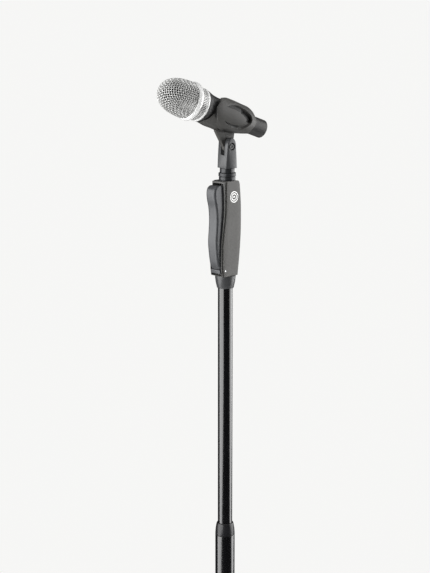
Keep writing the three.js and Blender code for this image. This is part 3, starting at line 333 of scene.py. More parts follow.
def makeFinish(name, spec):
    material = bpy.data.materials.new(name)
    material.use_nodes = True
    tree = material.node_tree
    shader = tree.nodes["Principled BSDF"]
    shader.inputs["Metallic"].default_value = spec["metal"]
    shader.inputs["Coat Weight"].default_value = spec.get("coat", 0.0)
    shader.inputs["Coat Roughness"].default_value = 0.17
    coord = tree.nodes.new("ShaderNodeTexCoord")

    def place(group, **values):
        node = tree.nodes.new("ShaderNodeGroup")
        node.node_tree = group
        tree.links.new(coord.outputs["Object"], node.inputs["Vector"])
        for label, value in values.items():
            node.inputs[label].default_value = value
        return node

    grain = place(fineGrain, Size=spec["grain"])
    marks = place(handMarks, Size=spec.get("markSize", 28.0))
    dust = place(topDust, Amount=spec.get("dust", 0.0))
    tone = tree.nodes.new("ShaderNodeMix")
    tone.data_type = "RGBA"
    tone.inputs[6].default_value = (*spec["color"], 1)
    tone.inputs[7].default_value = (*spec["second"], 1)
    blendIn = mathNode(tree, "ADD", mathNode(tree, "MULTIPLY", grain.outputs["Shade"], 0.5),
                       mathNode(tree, "MULTIPLY", marks.outputs["Mask"], 0.5), True)
    tree.links.new(blendIn, tone.inputs[0])
    dusted = tree.nodes.new("ShaderNodeMix")
    dusted.data_type = "RGBA"
    dusted.inputs[7].default_value = (0.32, 0.31, 0.29, 1)
    tree.links.new(tone.outputs[2], dusted.inputs[6])
    tree.links.new(dust.outputs["Mask"], dusted.inputs[0])
    color = dusted.outputs[2]
    if spec.get("recess"):  # painted by the mesh where shade gathers
        paintedShadeInput = tree.nodes.new("ShaderNodeAttribute")
        paintedShadeInput.attribute_name = "recess"
        shaded = tree.nodes.new("ShaderNodeMix")
        shaded.data_type = "RGBA"
        # painted shade: the finish's colour at three percent, mixed in by the mesh's recess value
        shaded.inputs[7].default_value = tuple(0.03 * c for c in spec["color"]) + (1,)
        tree.links.new(paintedShadeInput.outputs["Fac"], shaded.inputs[0])
        tree.links.new(color, shaded.inputs[6])
        color = shaded.outputs[2]
    tree.links.new(color, shader.inputs["Base Color"])
    gloss = mathNode(tree, "ADD", mathNode(tree, "MULTIPLY", marks.outputs["Mask"], spec["marks"]),
                     spec["rough"] - spec["marks"] * 0.4)
    gloss = mathNode(tree, "ADD", gloss, mathNode(tree, "MULTIPLY", dust.outputs["Mask"], 0.5), True)
    tree.links.new(gloss, shader.inputs["Roughness"])
    height = grain.outputs["Height"]
    bump = tree.nodes.new("ShaderNodeBump")
    bump.inputs["Strength"].default_value = min(spec["bump"] * 4, 1.0)
    bump.inputs["Distance"].default_value = spec["bump"] * mm
    tree.links.new(height, bump.inputs["Height"])
    tree.links.new(bump.outputs[0], shader.inputs["Normal"])
    return material


materials = {name: makeFinish(name, spec) for name, spec in finishes.items()}
print("finishes made:", len(materials))


# ---------- surfaces ----------

def gridFaces(rows, cols, wrapRows=False, wrapCols=False):
    # quads of a rows by cols grid, as an index array
    r = np.arange(rows if wrapRows else rows - 1)
    c = np.arange(cols if wrapCols else cols - 1)
    a, b = np.meshgrid(r, c, indexing="ij")
    nextR = (a + 1) % rows
    nextC = (b + 1) % cols
    quads = np.stack([a * cols + b, a * cols + nextC, nextR * cols + nextC, nextR * cols + b], axis=-1)
    return quads.reshape(-1, 4)


def meshPiece(name, points, faces, finish, body, replaced=(), sharp=35, recess=None):
    # points in mm; seams and poles are merged, faces turned outward; recess is 1 where the colour is
    # darkened fully with painted shade
    mesh = bpy.data.meshes.new(name)
    mesh.from_pydata((np.asarray(points, dtype=float).reshape(-1, 3) * mm).tolist(), [],
                     np.asarray(faces).tolist())
    if recess is not None:
        mesh.attributes.new("recess", "FLOAT", "POINT").data.foreach_set("value",
                                                                         np.asarray(recess, dtype=np.float32))
    work = bmesh.new()
    work.from_mesh(mesh)
    bmesh.ops.remove_doubles(work, verts=work.verts, dist=0.5e-6)
    bmesh.ops.dissolve_degenerate(work, edges=work.edges, dist=0.5e-6)
    bmesh.ops.recalc_face_normals(work, faces=work.faces)
    work.to_mesh(mesh)
    work.free()
    mesh.shade_smooth()
    mesh.set_sharp_from_angle(angle=math.radians(sharp))
    mesh.materials.append(materials[finish])
    piece = bpy.data.objects.new(name, mesh)
    scene.collection.objects.link(piece)
    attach(piece, body)
    if replaced:
        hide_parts(*replaced)
    return piece


def softLine(points, radius=0.4, steps=4, closed=False):
    # each corner of a line of pairs becomes a short curve between two points at the radius from it
    p = np.asarray(points, dtype=float)
    if closed:
        before, after = np.roll(p, 1, axis=0), np.roll(p, -1, axis=0)
        middle = p
    else:
        before, after, middle = p[:-2], p[2:], p[1:-1]
    toBefore, toAfter = before - middle, after - middle
    lenBefore = np.linalg.norm(toBefore, axis=1, keepdims=True)
    lenAfter = np.linalg.norm(toAfter, axis=1, keepdims=True)
    reach = np.broadcast_to(np.asarray(radius, dtype=float).reshape(-1, 1), (len(middle), 1))
    a = middle + toBefore / lenBefore * np.minimum(reach, lenBefore * 0.45)
    b = middle + toAfter / lenAfter * np.minimum(reach, lenAfter * 0.45)
    t = np.linspace(0, 1, steps + 1)[None, :, None]
    curve = (1 - t) ** 2 * a[:, None] + 2 * t * (1 - t) * middle[:, None] + t ** 2 * b[:, None]
    curve = curve.reshape(-1, 2)
    return curve if closed else np.vstack([p[:1], curve, p[-1:]])


def throughPoints(p0, p1, p2, p3, f):
    # Catmull-Rom: the cubic from p1 to p2 at share f, its slopes taken from the neighbours p0 and p3
    square = (2 * p0 - 5 * p1 + 4 * p2 - p3) * f ** 2
    cube = (3 * p1 - p0 - 3 * p2 + p3) * f ** 3
    return 0.5 * (2 * p1 + (p2 - p0) * f + square + cube)


def splineLine(points, count):
    # a smooth line through the points (Catmull-Rom), count points long
    p = np.asarray(points, dtype=float)
    p = np.vstack([2 * p[0] - p[1], p, 2 * p[-1] - p[-2]])
    last = len(p) - 3
    t = np.linspace(0, last, count)
    i = np.minimum(t.astype(int), last - 1)
    f = (t - i)[:, None]
    p0, p1, p2, p3 = p[i], p[i + 1], p[i + 2], p[i + 3]
    return throughPoints(p0, p1, p2, p3, f)


def easeStep(low, high, value):
    t = np.clip((value - low) / (high - low), 0, 1)
    return t * t * (3 - 2 * t)


def inPlace(place, along, first, second):
    origin, axis, e1, e2 = place
    return origin + along[..., None] * axis + first[..., None] * e1 + second[..., None] * e2


def turnedPiece(name, line, finish, body, place=mastPlace, replaced=(), count=128, closed=False,
                ripple=None, sharp=35):
    # a line of (radius, station) pairs turned about an axis: point = station along it, radius round it;
    # ripple(angle, station) is added to the radius
    line = np.asarray(line, dtype=float)
    angle = np.arange(count) / count * 2 * math.pi
    radius, turnBy = np.meshgrid(line[:, 0], angle, indexing="ij")
    station = np.broadcast_to(line[:, 1:2], radius.shape)
    sunk = ripple(turnBy, station, radius) if ripple is not None else radius * 0
    radius = radius + sunk
    points = inPlace(place, station, radius * np.cos(turnBy), radius * np.sin(turnBy))
    faces = gridFaces(len(line), count, wrapRows=closed, wrapCols=True)
    # where the ripple sinks the surface, the colour takes painted shade, full at 0.5 mm deep
    recess = np.clip(-sunk / 0.5, 0, 1).ravel() if finishes[finish].get("recess") else None
    return meshPiece(name, points, faces, finish, body, replaced, sharp, recess)


# ---------- base and tubes ----------

baseSet = {"radius": 125, "hubRadius": 18, "hubHeight": 28, "edge": 10, "underside": 3, "ringIn": 106,
           "ringOut": 116, "groove": 6, "boltHole": 5.3, "recess": 14, "recessTop": 12}
tubeSet = {"lowRadius": 13.5, "lowBore": 12, "lowFoot": 28.3, "lowTop": 882.5, "upRadius": 10,
           "upBore": 8.5, "upFoot": 430, "upTop": 1249.9, "collarTop": 900, "collarRim": 11,
           "collarBore": 10.6, "sleeveFoot": 1233, "sleeveTop": 1250, "sleeveLow": 11.2, "sleeveHigh": 14,
           "sleeveBore": 10.3}


def makeBase(b):
    crown = splineLine([(22, 26), (31, 20.5), (62.5, 16.5), (101, 12.5), (118, 10)], 30)
    line = np.vstack([[(b["boltHole"], b["recessTop"]), (b["boltHole"], b["hubHeight"])],
                      softLine([(b["boltHole"], b["hubHeight"]), (b["hubRadius"], b["hubHeight"]),
                                (22, 26)], 0.8)[1:-1],
                      crown,
                      softLine([(118, 10), (123.4, 7.6), (b["radius"], 5), (124.2, b["underside"]),
                                (118, b["underside"])], 1.0)[1:],
                      [(b["ringOut"], b["underside"]), (b["ringOut"], b["groove"]),
                       (b["ringIn"], b["groove"]),
                       (b["ringIn"], b["underside"]), (b["recess"], b["underside"]), (b["recess"],
                                                                                      b["recessTop"])]])
    turnedPiece("basePlate", line, "castIron", "base", replaced=("base_plate",), count=180, closed=True)
    ring = softLine([(106.3, 5.7), (106.3, 0.5), (107.0, 0), (115.0, 0), (115.7, 0.5), (115.7, 5.7)], 0.3,
                    closed=True)
    turnedPiece("floorRing", ring, "softRubber", "base", replaced=("base_rubber_ring",), count=180,
                closed=True)


def makeTubes(t):
    foot = softLine([(13.8, 28.3), (17.5, 28.3), (17.5, 36), (15.1, 40.3), (13.8, 40.3)], 0.9, closed=True)
    turnedPiece("footCollar", foot, "collarPlastic", "base", replaced=("foot_collar",), closed=True)
    low = softLine([(t["lowBore"], t["lowFoot"]), (t["lowRadius"], t["lowFoot"]),
                    (t["lowRadius"], t["lowTop"]),
                    (t["lowBore"], t["lowTop"])], 0.25, closed=True)
    turnedPiece("lowerTube", low, "tubeEnamel", "base", replaced=("lower_tube",), closed=True)
    up = softLine([(t["upBore"], t["upFoot"]), (t["upRadius"], t["upFoot"]), (t["upRadius"], t["upTop"]),
                   (t["upBore"], t["upTop"])], 0.25, closed=True)
    turnedPiece("upperTube", up, "tubeEnamel", "mast", replaced=("upper_tube",), closed=True)
    seam = t["lowTop"] + 0.3
    outside = splineLine([(t["lowRadius"], seam + 0.4), (13.4, seam + 3.5), (13.0, seam + 8.5),
                          (12.2, seam + 13.5),
                          (11.5, t["collarTop"] - 0.7), (t["collarRim"], t["collarTop"])], 24)
    collar = np.vstack([[(12, seam), (13.2, seam)], outside,
                        [(t["collarBore"], t["collarTop"] - 0.05), (t["collarBore"], seam + 7.5),
                         (12, seam + 7.5)]])
    turnedPiece("couplingCollar", collar, "collarPlastic", "base", replaced=("coupling_collar",),
                closed=True)
    shape = splineLine([(t["sleeveLow"], t["sleeveFoot"]), (12.0, t["sleeveFoot"] + 3.2),
                        (13.0, t["sleeveFoot"] + 8),
                        (13.7, t["sleeveFoot"] + 13), (t["sleeveHigh"], t["sleeveTop"])], 24)
    sleeve = np.vstack([[(t["sleeveBore"], t["sleeveFoot"])], shape, [(t["sleeveBore"], t["sleeveTop"])]])
    turnedPiece("taperSleeve", sleeve, "yokePlastic", "mast", replaced=("taper_sleeve",), closed=True)


# ---------- housing ----------

coverSet = {"half": 12.75, "thick": 1.2, "edge": 0.5}
coverFront = [(-14.6, 1250.3), (-16, 1262), (-16.2, 1276), (-15.6, 1298), (-12.6, 1318), (-10.4, 1336),
              (-10, 1352), (-10.1, 1376.6)]
coverBack = [(14.2, 1375.2), (15.9, 1358), (16.9, 1338), (16.6, 1308), (14.4, 1280), (10.7, 1250.3)]


def coverOutline():
    front = splineLine(coverFront, 90)
    back = splineLine(coverBack, 70)
    topLeft = softLine([front[-2], (-9.6, 1378.2), (12.4, 1378.2), back[1]], [0.8, 3.0], 8)
    low = softLine([back[-2], (10.7, 1250.3), (-14.6, 1250.3), front[1]], [0.8, 0.8], 5)
    loop = np.vstack([front[2:-2], topLeft[1:-1], back[2:-2], low[1:-1]])
    return loop


def evenLoop(loop, count):
    # the same closed line with points evenly along it
    ring = np.vstack([loop, loop[:1]])
    length = np.concatenate([[0], np.cumsum(np.linalg.norm(np.diff(ring, axis=0), axis=1))])
    t = np.linspace(0, length[-1], count, endpoint=False)
    return np.stack([np.interp(t, length, ring[:, 0]), np.interp(t, length, ring[:, 1])], axis=1)


def loopNormals(loop):
    # outward direction in the plane at each point of a closed line that runs either way
    tangent = np.roll(loop, -1, axis=0) - np.roll(loop, 1, axis=0)
    tangent /= np.linalg.norm(tangent, axis=1, keepdims=True)
    normal = np.stack([tangent[:, 1], -tangent[:, 0]], axis=1)
    area = np.sum(loop[:, 0] * np.roll(loop[:, 1], -1) - np.roll(loop[:, 0], -1) * loop[:, 1])
    return normal if area > 0 else -normal


def platePoints(loop, low, high, edge, steps=4, inner=None):
    # rings from the middle line of one face, over a rounded edge, to the middle line of the other;
    # inner(loop) gives the middle line, so that the faces fill as strips
    normal = loopNormals(loop)
    a = np.linspace(0, math.pi / 2, steps + 1)
    core = inner(loop)
    rings = [(core, low), (core * 0.5 + (loop - normal * edge) * 0.5, low)]
    for inset, level in zip(edge * (1 - np.sin(a)), low + edge * (1 - np.cos(a))):
        rings.append((loop - normal * inset, level))
    for inset, level in zip(edge * (1 - np.cos(a)), high - edge * (1 - np.sin(a))):
        rings.append((loop - normal * inset, level))
    rings += [(core * 0.5 + (loop - normal * edge) * 0.5, high), (core, high)]
    return rings


def makeCover(name, side, spec, replaced):
    loop = evenLoop(coverOutline(), 300)
    low = spec["half"] - spec["thick"]
    rings = platePoints(loop, low, spec["half"], spec["edge"],
                        inner=lambda l: np.stack([np.full(len(l), 1.0), np.clip(l[:, 1], 1258, 1369)],
                                                 axis=1))
    points = np.array([np.stack([np.full(len(r), x), r[:, 0], r[:, 1]], axis=1) for r, x in rings])
    points[..., 0] *= side
    faces = gridFaces(len(rings), len(loop), wrapCols=True)
    meshPiece(name, points, faces, "coverPlastic", "mast", replaced, sharp=50)


def tidyCopy(name, node, finish, body, bevel=0.35, segments=2, angle=28, flat=3.0):
    # a copy of a solid with its triangles joined into faces and its edges rounded
    mesh = nodes[node].data.copy()
    mesh.name = name
    work = bmesh.new()
    work.from_mesh(mesh)
    bmesh.ops.remove_doubles(work, verts=work.verts, dist=2e-6)
    bmesh.ops.dissolve_limit(work, angle_limit=math.radians(flat), verts=work.verts, edges=work.edges)
    bmesh.ops.recalc_face_normals(work, faces=work.faces)
    work.to_mesh(mesh)
    work.free()
    mesh.shade_smooth()
    mesh.set_sharp_from_angle(angle=math.radians(angle + 6))
    mesh.materials.clear()
    mesh.materials.append(materials[finish])
    piece = bpy.data.objects.new(name, mesh)
    scene.collection.objects.link(piece)
    soften = piece.modifiers.new("edges", "BEVEL")
    soften.width = bevel * mm
    soften.segments = segments
    soften.limit_method = "ANGLE"
    soften.angle_limit = math.radians(angle)
    soften.harden_normals = False
    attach(piece, body)
    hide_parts(node)
    return piece


badgeSet = {"radius": 7.75, "y": 3.4, "z": 1356.7, "face": 12.75}


def makeBadge(spec):
    # a plain turned disc: a bright rounded rim, a dark groove and a raised ring round a low dome
    place = (np.array([0.0, spec["y"], spec["z"]]), np.array([1.0, 0, 0]), np.array([0, 1.0, 0]), upZ)
    face, rim = spec["face"], spec["radius"]
    radius = np.concatenate([[0, rim - 0.3, rim], np.linspace(rim, 0, 90)])
    share = radius[3:] / rim
    ridges = 0.30 * easeStep(1.0, 0.97, share) * easeStep(0.80, 0.84, share) + 0.26 * easeStep(0.66, 0.62,
                                                                                               share) \
        * easeStep(0.44, 0.48, share) + 0.24 * easeStep(0.3, 0.0, share)
    level = np.concatenate([[face - 0.5, face - 0.5, face - 0.3], face - 0.1 + ridges])
    turnedPiece("badgeDisc", np.stack([radius, level], axis=1), "badgeMetal", "mast", place=place,
                replaced=("badge_disc",), count=96)


# ---------- lever ----------

leverSet = {"half": 8.75, "round": 4.2, "pad": 2.8, "gap": 0.3, "crown": 0.5, "bodyInset": 0.5}
leverFront = [(-18.8, 1260.6), (-21.4, 1265.5), (-23.4, 1274), (-25.4, 1288), (-26, 1299), (-24.9, 1314),
              (-24.2, 1328), (-25.4, 1343), (-28, 1354.3), (-28.9, 1362.4), (-27.4, 1369.2),
              (-23.2, 1372.6)]
leverBack = [(-14, 1260.6), (-14, 1272), (-13, 1297), (-9.8, 1331), (-10.6, 1352.2), (-12.2, 1372.6)]


def leverLines(count):
    front = splineLine(leverFront, count)
    backLine = splineLine(leverBack, 200)
    back = np.interp(front[:, 1], backLine[:, 1], backLine[:, 0])
    return front, back


def leverSection(spec, fromDepth, toDepth, steps):
    # half of a level section as (x, depth) pairs, from the back edge forward round the corner to the
    # middle;
    # the corner is a superellipse and the front is flat (the crown is not applied)
    half, bend = spec["half"], spec["round"]
    a = np.linspace(0, math.pi / 2, steps)
    x = half - bend + bend * np.cos(a) ** 0.85
    depth = bend - bend * np.sin(a) ** 0.85
    keep = depth <= toDepth + 1e-9
    x, depth = x[keep], depth[keep]
    x = np.concatenate([[np.interp(-toDepth, -depth, x) if toDepth < bend else half], x])
    depth = np.concatenate([[toDepth], depth])
    across = np.linspace(half - bend, 0, 12)[1:]
    x = np.concatenate([x, across])
    depth = np.concatenate([depth, np.zeros(len(across))])
    depth = depth - spec["crown"] * 0 
    return np.stack([x, depth], axis=1)


def leverPlate(name, loop, half, edge, middle):
    # a rounded plate across the lever from -half to half, its faces filled towards the middle point
    rings = platePoints(loop, -half, half, edge, inner=lambda l: l * 0 + middle)
    points = np.array([np.stack([np.full(len(r), x), r[:, 0], r[:, 1]], axis=1) for r, x in rings])
    faces = gridFaces(len(rings), len(loop), wrapCols=True)
    meshPiece(name, points, faces, "leverPaint", "lever", sharp=40)


def makeLever(spec):
    count = 120
    front, back = leverLines(count)
    # pad: between the front line and the joint line behind it
    half = leverSection(spec, 0, spec["pad"], 22)
    section = np.vstack([half, half[::-1][1:] * [-1, 1]])
    backFill = np.stack([np.linspace(-half[0, 0], half[0, 0], 10)[1:-1], np.full(8, spec["pad"])], axis=1)
    section = np.vstack([section, backFill])
    u = np.linspace(0, 1, count)
    shrink = np.clip(np.minimum(u, 1 - u) / 0.02, 0, 1)
    shrink = 1 - 0.10 * (1 - np.sqrt(1 - (1 - shrink) ** 2))
    x = section[None, :, 0] * shrink[:, None]
    y = front[:, None, 0] + section[None, :, 1] + 0 * x
    z = np.broadcast_to(front[:, 1:2], x.shape)
    points = np.stack([x, y, z], axis=-1)
    capLow = np.stack([x[0] * 0, np.full(x.shape[1], front[0, 0] + spec["pad"] * 0.6), z[0]], axis=-1)[None]
    capHigh = np.stack([x[-1] * 0, np.full(x.shape[1], front[-1, 0] + spec["pad"] * 0.6), z[-1]],
                       axis=-1)[None]
    points = np.concatenate([capLow, points, capHigh])
    meshPiece("leverPad", points, gridFaces(count + 2, len(section), wrapCols=True), "leverPaint", "lever",
              ("lever_pad",), sharp=55)
    # body: from the joint line back into the housing
    start = spec["pad"] + spec["gap"]
    bend = spec["round"]
    a = np.linspace(0, math.pi / 2, 60)
    cornerX = spec["half"] - bend + bend * np.cos(a) ** 0.85
    cornerD = bend - bend * np.sin(a) ** 0.85
    depths = np.linspace(start, bend, 6)
    sideX = np.interp(-depths, -cornerD, cornerX)
    t = np.linspace(0, 1, 8)[1:]
    depthGrid = np.concatenate([depths[None, :] + np.zeros((count, 1)),
                                bend + (back - front[:, 0])[:, None] * t[None] - bend * t[None]], axis=1)
    xRow = np.concatenate([sideX, np.full(7, spec["half"])])
    sideY = front[:, :1] + depthGrid
    xRow = xRow - spec["bodyInset"]
    x = np.concatenate([np.broadcast_to(xRow, sideY.shape), -np.broadcast_to(xRow[::-1], sideY.shape)],
                       axis=1)
    y = np.concatenate([sideY, sideY[:, ::-1]], axis=1)
    z = np.broadcast_to(front[:, 1:2], x.shape)
    points = np.stack([x, y, z], axis=-1)
    middle = (front[:, 0] + start + back) / 2
    capLow = np.stack([x[0] * 0, np.full(x.shape[1], middle[0]), z[0]], axis=-1)[None]
    capHigh = np.stack([x[-1] * 0, np.full(x.shape[1], middle[-1]), z[-1]], axis=-1)[None]
    points = np.concatenate([capLow, points, capHigh])
    meshPiece("leverBody", points, gridFaces(count + 2, x.shape[1], wrapCols=True), "leverPaint", "lever",
              ("lever_body",), sharp=40)
    # the foot under the pad, a rounded plate across the whole width
    foot = [(-18.4, 1254.3), (-12, 1254.3), (-12, 1262.3), (-15.4, 1262.3), (-15.8, 1260.3),
            (-19.4, 1259.9)]
    leverPlate("leverFoot", evenLoop(softLine(foot, 1.1, 5, closed=True), 120), spec["half"], 0.9,
               (-14, 1258))
    # the lug at the pin and the finger that presses the rod
    place = (np.array([0.0, -12.6, 1258.5]), np.array([1.0, 0, 0]), np.array([0, 1.0, 0]), upZ)
    lug = softLine([(1.8, -8.1), (3.2, -8.1), (3.2, 8.1), (1.8, 8.1)], 0.3, closed=True)
    turnedPiece("leverLug", lug, "leverPaint", "lever", place=place, closed=True, count=48)
    finger = [(-13, 1262), (2.5, 1262), (2.5, 1266.5), (-5.5, 1266.5), (-13, 1282)]
    leverPlate("leverFinger", evenLoop(softLine(finger, 0.5, closed=True), 80), 3, 0.4, (-9, 1266))


# ---------- neck and lock nut ----------

neckSet = {"radius": 11, "foot": 1377.3, "top": 1383.2, "stud": 4.76, "studTop": 1406, "nutRadius": 11.6,
           "nutFoot": 1383.6, "nutTop": 1388.1, "flutes": 48, "fluteDepth": 0.16, "insertRadius": 9.8,
           "insertFoot": 1388.4, "insertTop": 1394.2}


def makeNeck(n):
    flange = softLine([(3.5, 1372), (3.5, n["foot"]), (n["radius"], n["foot"]), (n["radius"], n["top"]),
                       (n["stud"], n["top"])], 0.6)
    pitch = 1.27
    turns = int((n["studTop"] - n["top"]) / pitch)
    k = np.arange(turns)
    ridge = np.stack([np.tile([n["stud"], n["stud"] - 0.5], turns), np.repeat(n["top"] + 0.4 + k * pitch, 2)
                      + np.tile([0, pitch / 2], turns)], axis=1)
    line = np.vstack([[(0, 1364.3)], [(3.5, 1364.3)], flange, ridge,
                      [(n["stud"] - 0.6, n["studTop"]), (0, n["studTop"])]])
    turnedPiece("neckStud", line, "neckMetal", "mast", place=neckPlace, replaced=("neck_stud",))
    middle = (n["nutFoot"] + n["nutTop"]) / 2
    half = (n["nutTop"] - n["nutFoot"]) / 2

    def fluted(angle, station, radius):
        # rounded flutes round the rim, fading at both edges
        rim = np.clip((radius - n["nutRadius"] + 0.9) / 0.9, 0, 1)
        fade = np.clip((half - np.abs(station - middle)) / 0.9, 0, 1)
        return -n["fluteDepth"] * rim * fade * (0.5 - 0.5 * np.cos(n["flutes"] * angle)) ** 0.6

    extra = np.linspace(n["nutFoot"] + 0.6, n["nutTop"] - 0.6, 6)
    rimLine = np.stack([np.full(6, n["nutRadius"]), extra], axis=1)
    nut = np.vstack([softLine([(5.06, n["nutFoot"]), (n["nutRadius"], n["nutFoot"]),
                               (n["nutRadius"], middle)], 0.5)[:-1],
                     rimLine, softLine([(n["nutRadius"], middle), (n["nutRadius"], n["nutTop"]),
                                        (5.06, n["nutTop"])], 0.5)[1:]])
    turnedPiece("lockNut", nut, "neckMetal", "lock_nut", place=neckPlace, replaced=("lock_nut",), count=256,
                closed=True,
                ripple=fluted)
    insert = softLine([(5.06, n["insertFoot"]), (n["insertRadius"], n["insertFoot"]),
                       (n["insertRadius"], n["insertTop"]),
                       (7.2, n["insertTop"]), (7.2, 1402.2), (5.06, 1402.2)], 0.5, closed=True)
    turnedPiece("threadInsert", insert, "neckMetal", "yoke", place=neckPlace, replaced=("thread_insert",),
                closed=True)


setCamera(cameraSet)
for lightName, lightSpec in lightSet.items():
    addLight(lightName, lightSpec)
addTopLight(topSet)
setRoom(roomSet)
makeBase(baseSet)
makeTubes(tubeSet)
print("base and tubes made")
tidyCopy("housingFrame", "housing_frame", "framePlastic", "mast", bevel=0.2)
makeCover("sideCoverRight", 1, coverSet, ("side_cover_right",))
makeCover("sideCoverLeft", -1, coverSet, ("side_cover_left",))
makeBadge(badgeSet)
makeLever(leverSet)
makeNeck(neckSet)
print("housing and lever made")


# ---------- clip ----------

clipSet = {"rear": -26, "rearLow": -20, "lipInset": 1.4, "bellyInset": 3.4, "edge": 1.0, "depth": 2.4,
           "rearDepth": 5.2, "fit": 0.3, "lipRadius": 21.8, "cheekRadius": 24.3}
# the sunk eye lies between two closed loops of (station, rise)
clipEye = [(36, -2), (34.8, 5), (31.5, 9.4), (19.75, 14.5), (8.5, 14.1), (-3.25, 11.7), (-11.25, 7.4),
           (-13, 1.1), (-7, -7.6), (1, -12.6), (13, -14.6), (25, -12.9), (31.25, -10.5), (34.8, -7)]
clipPad = [(40, -1), (36, 6.4), (29.25, 7.9), (18, 8), (8.5, 5.9), (0.75, 3), (-2.5, 0.2), (-0.5, -5.1),
           (6, -9.6), (15.75, -11.8), (23.75, -11.8), (30, -11), (36, -8.4)]
clipSlot = [(8.5, -30), (8.5, -10), (12, 5), (13, 21), (14.4, 34), (17.7, 44), (19.5, 58)]
clipOuter = [(13.6, -26), (15.2, -23), (17.7, -19), (19.8, -14), (21.5, -8), (22.9, 2), (23.8, 14),
             (24.3, 26), (24.6, 38), (24.4, 45), (22.9, 56)]
# where the wall ends in front, as (rise, station), and where each cheek's edge runs, as (station, degrees
# round from the belly)
clipMouth = [(-30, 56), (-19.5, 56), (-17.5, 55.2), (-15, 53), (-12, 51.5), (-7, 49.9), (-3, 49.3),
             (1, 49.5), (4.5, 49.5), (8.5, 47.8), (12.2, 45.4), (16.8, 44.2), (30, 42)]
cheekEdge = [(-7, 0), (-3, 11), (4, 18), (12, 20), (22, 20), (28, 26), (32.8, 33.5), (40, 52),
             (45.8, 71.5), (48.2, 86), (49.4, 98), (50, 112), (57, 170)]
clipHollow = [(13.5, -12), (14.4, -6), (15.4, 4), (17.6, 14), (20, 28), (21.6, 40), (22, 56)]
handleOuter = [(11.5, -47), (12.3, -46), (12.4, -30), (13.4, -14), (15.2, 10), (16.6, 28), (17.6, 41),
               (18.7, 49), (20.4, 55), (21.6, 59), (21.4, 60.5)]


def radiusAt(line, station):
    fine = splineLine(line, 400)
    return np.interp(station, fine[:, 1], fine[:, 0])


def spread(knots, gaps):
    # stations from the first knot to the last, each stretch between knots in even steps of its own gap
    parts = [np.linspace(a, b, max(int(round((b - a) / g)), 1), endpoint=False) for a, b,
             g in zip(knots[:-1], knots[1:], gaps)]
    return np.concatenate(parts + [[knots[-1]]])


def loopDistance(loop, station, rise):
    # signed distance, near enough, to a closed loop: how far past the loop's reach in the same direction,
    # corrected by its slant
    fine = softSpline(loop, 240)
    centre = fine.mean(axis=0)
    around = np.arctan2(fine[:, 1] - centre[1], fine[:, 0] - centre[0])
    order = np.argsort(around)
    around, reach = around[order], np.hypot(fine[:, 0] - centre[0], fine[:, 1] - centre[1])[order]
    slant = np.gradient(reach, around) / reach
    angle = np.arctan2(rise - centre[1], station - centre[0])
    loopReach = np.interp(angle, around, reach, period=2 * math.pi)
    loopSlant = np.interp(angle, around, slant, period=2 * math.pi)
    return (np.hypot(station - centre[0], rise - centre[1]) - loopReach) / np.sqrt(1 + loopSlant ** 2)


def softSpline(loop, count):
    # a closed Catmull-Rom curve through the loop's points
    p = np.asarray(loop, dtype=float)
    t = np.linspace(0, len(p), count, endpoint=False)
    i = t.astype(int)
    f = (t - i)[:, None]
    p0, p1, p2, p3 = p[i - 1], p[i], p[(i + 1) % len(p)], p[(i + 2) % len(p)]
    return throughPoints(p0, p1, p2, p3, f)


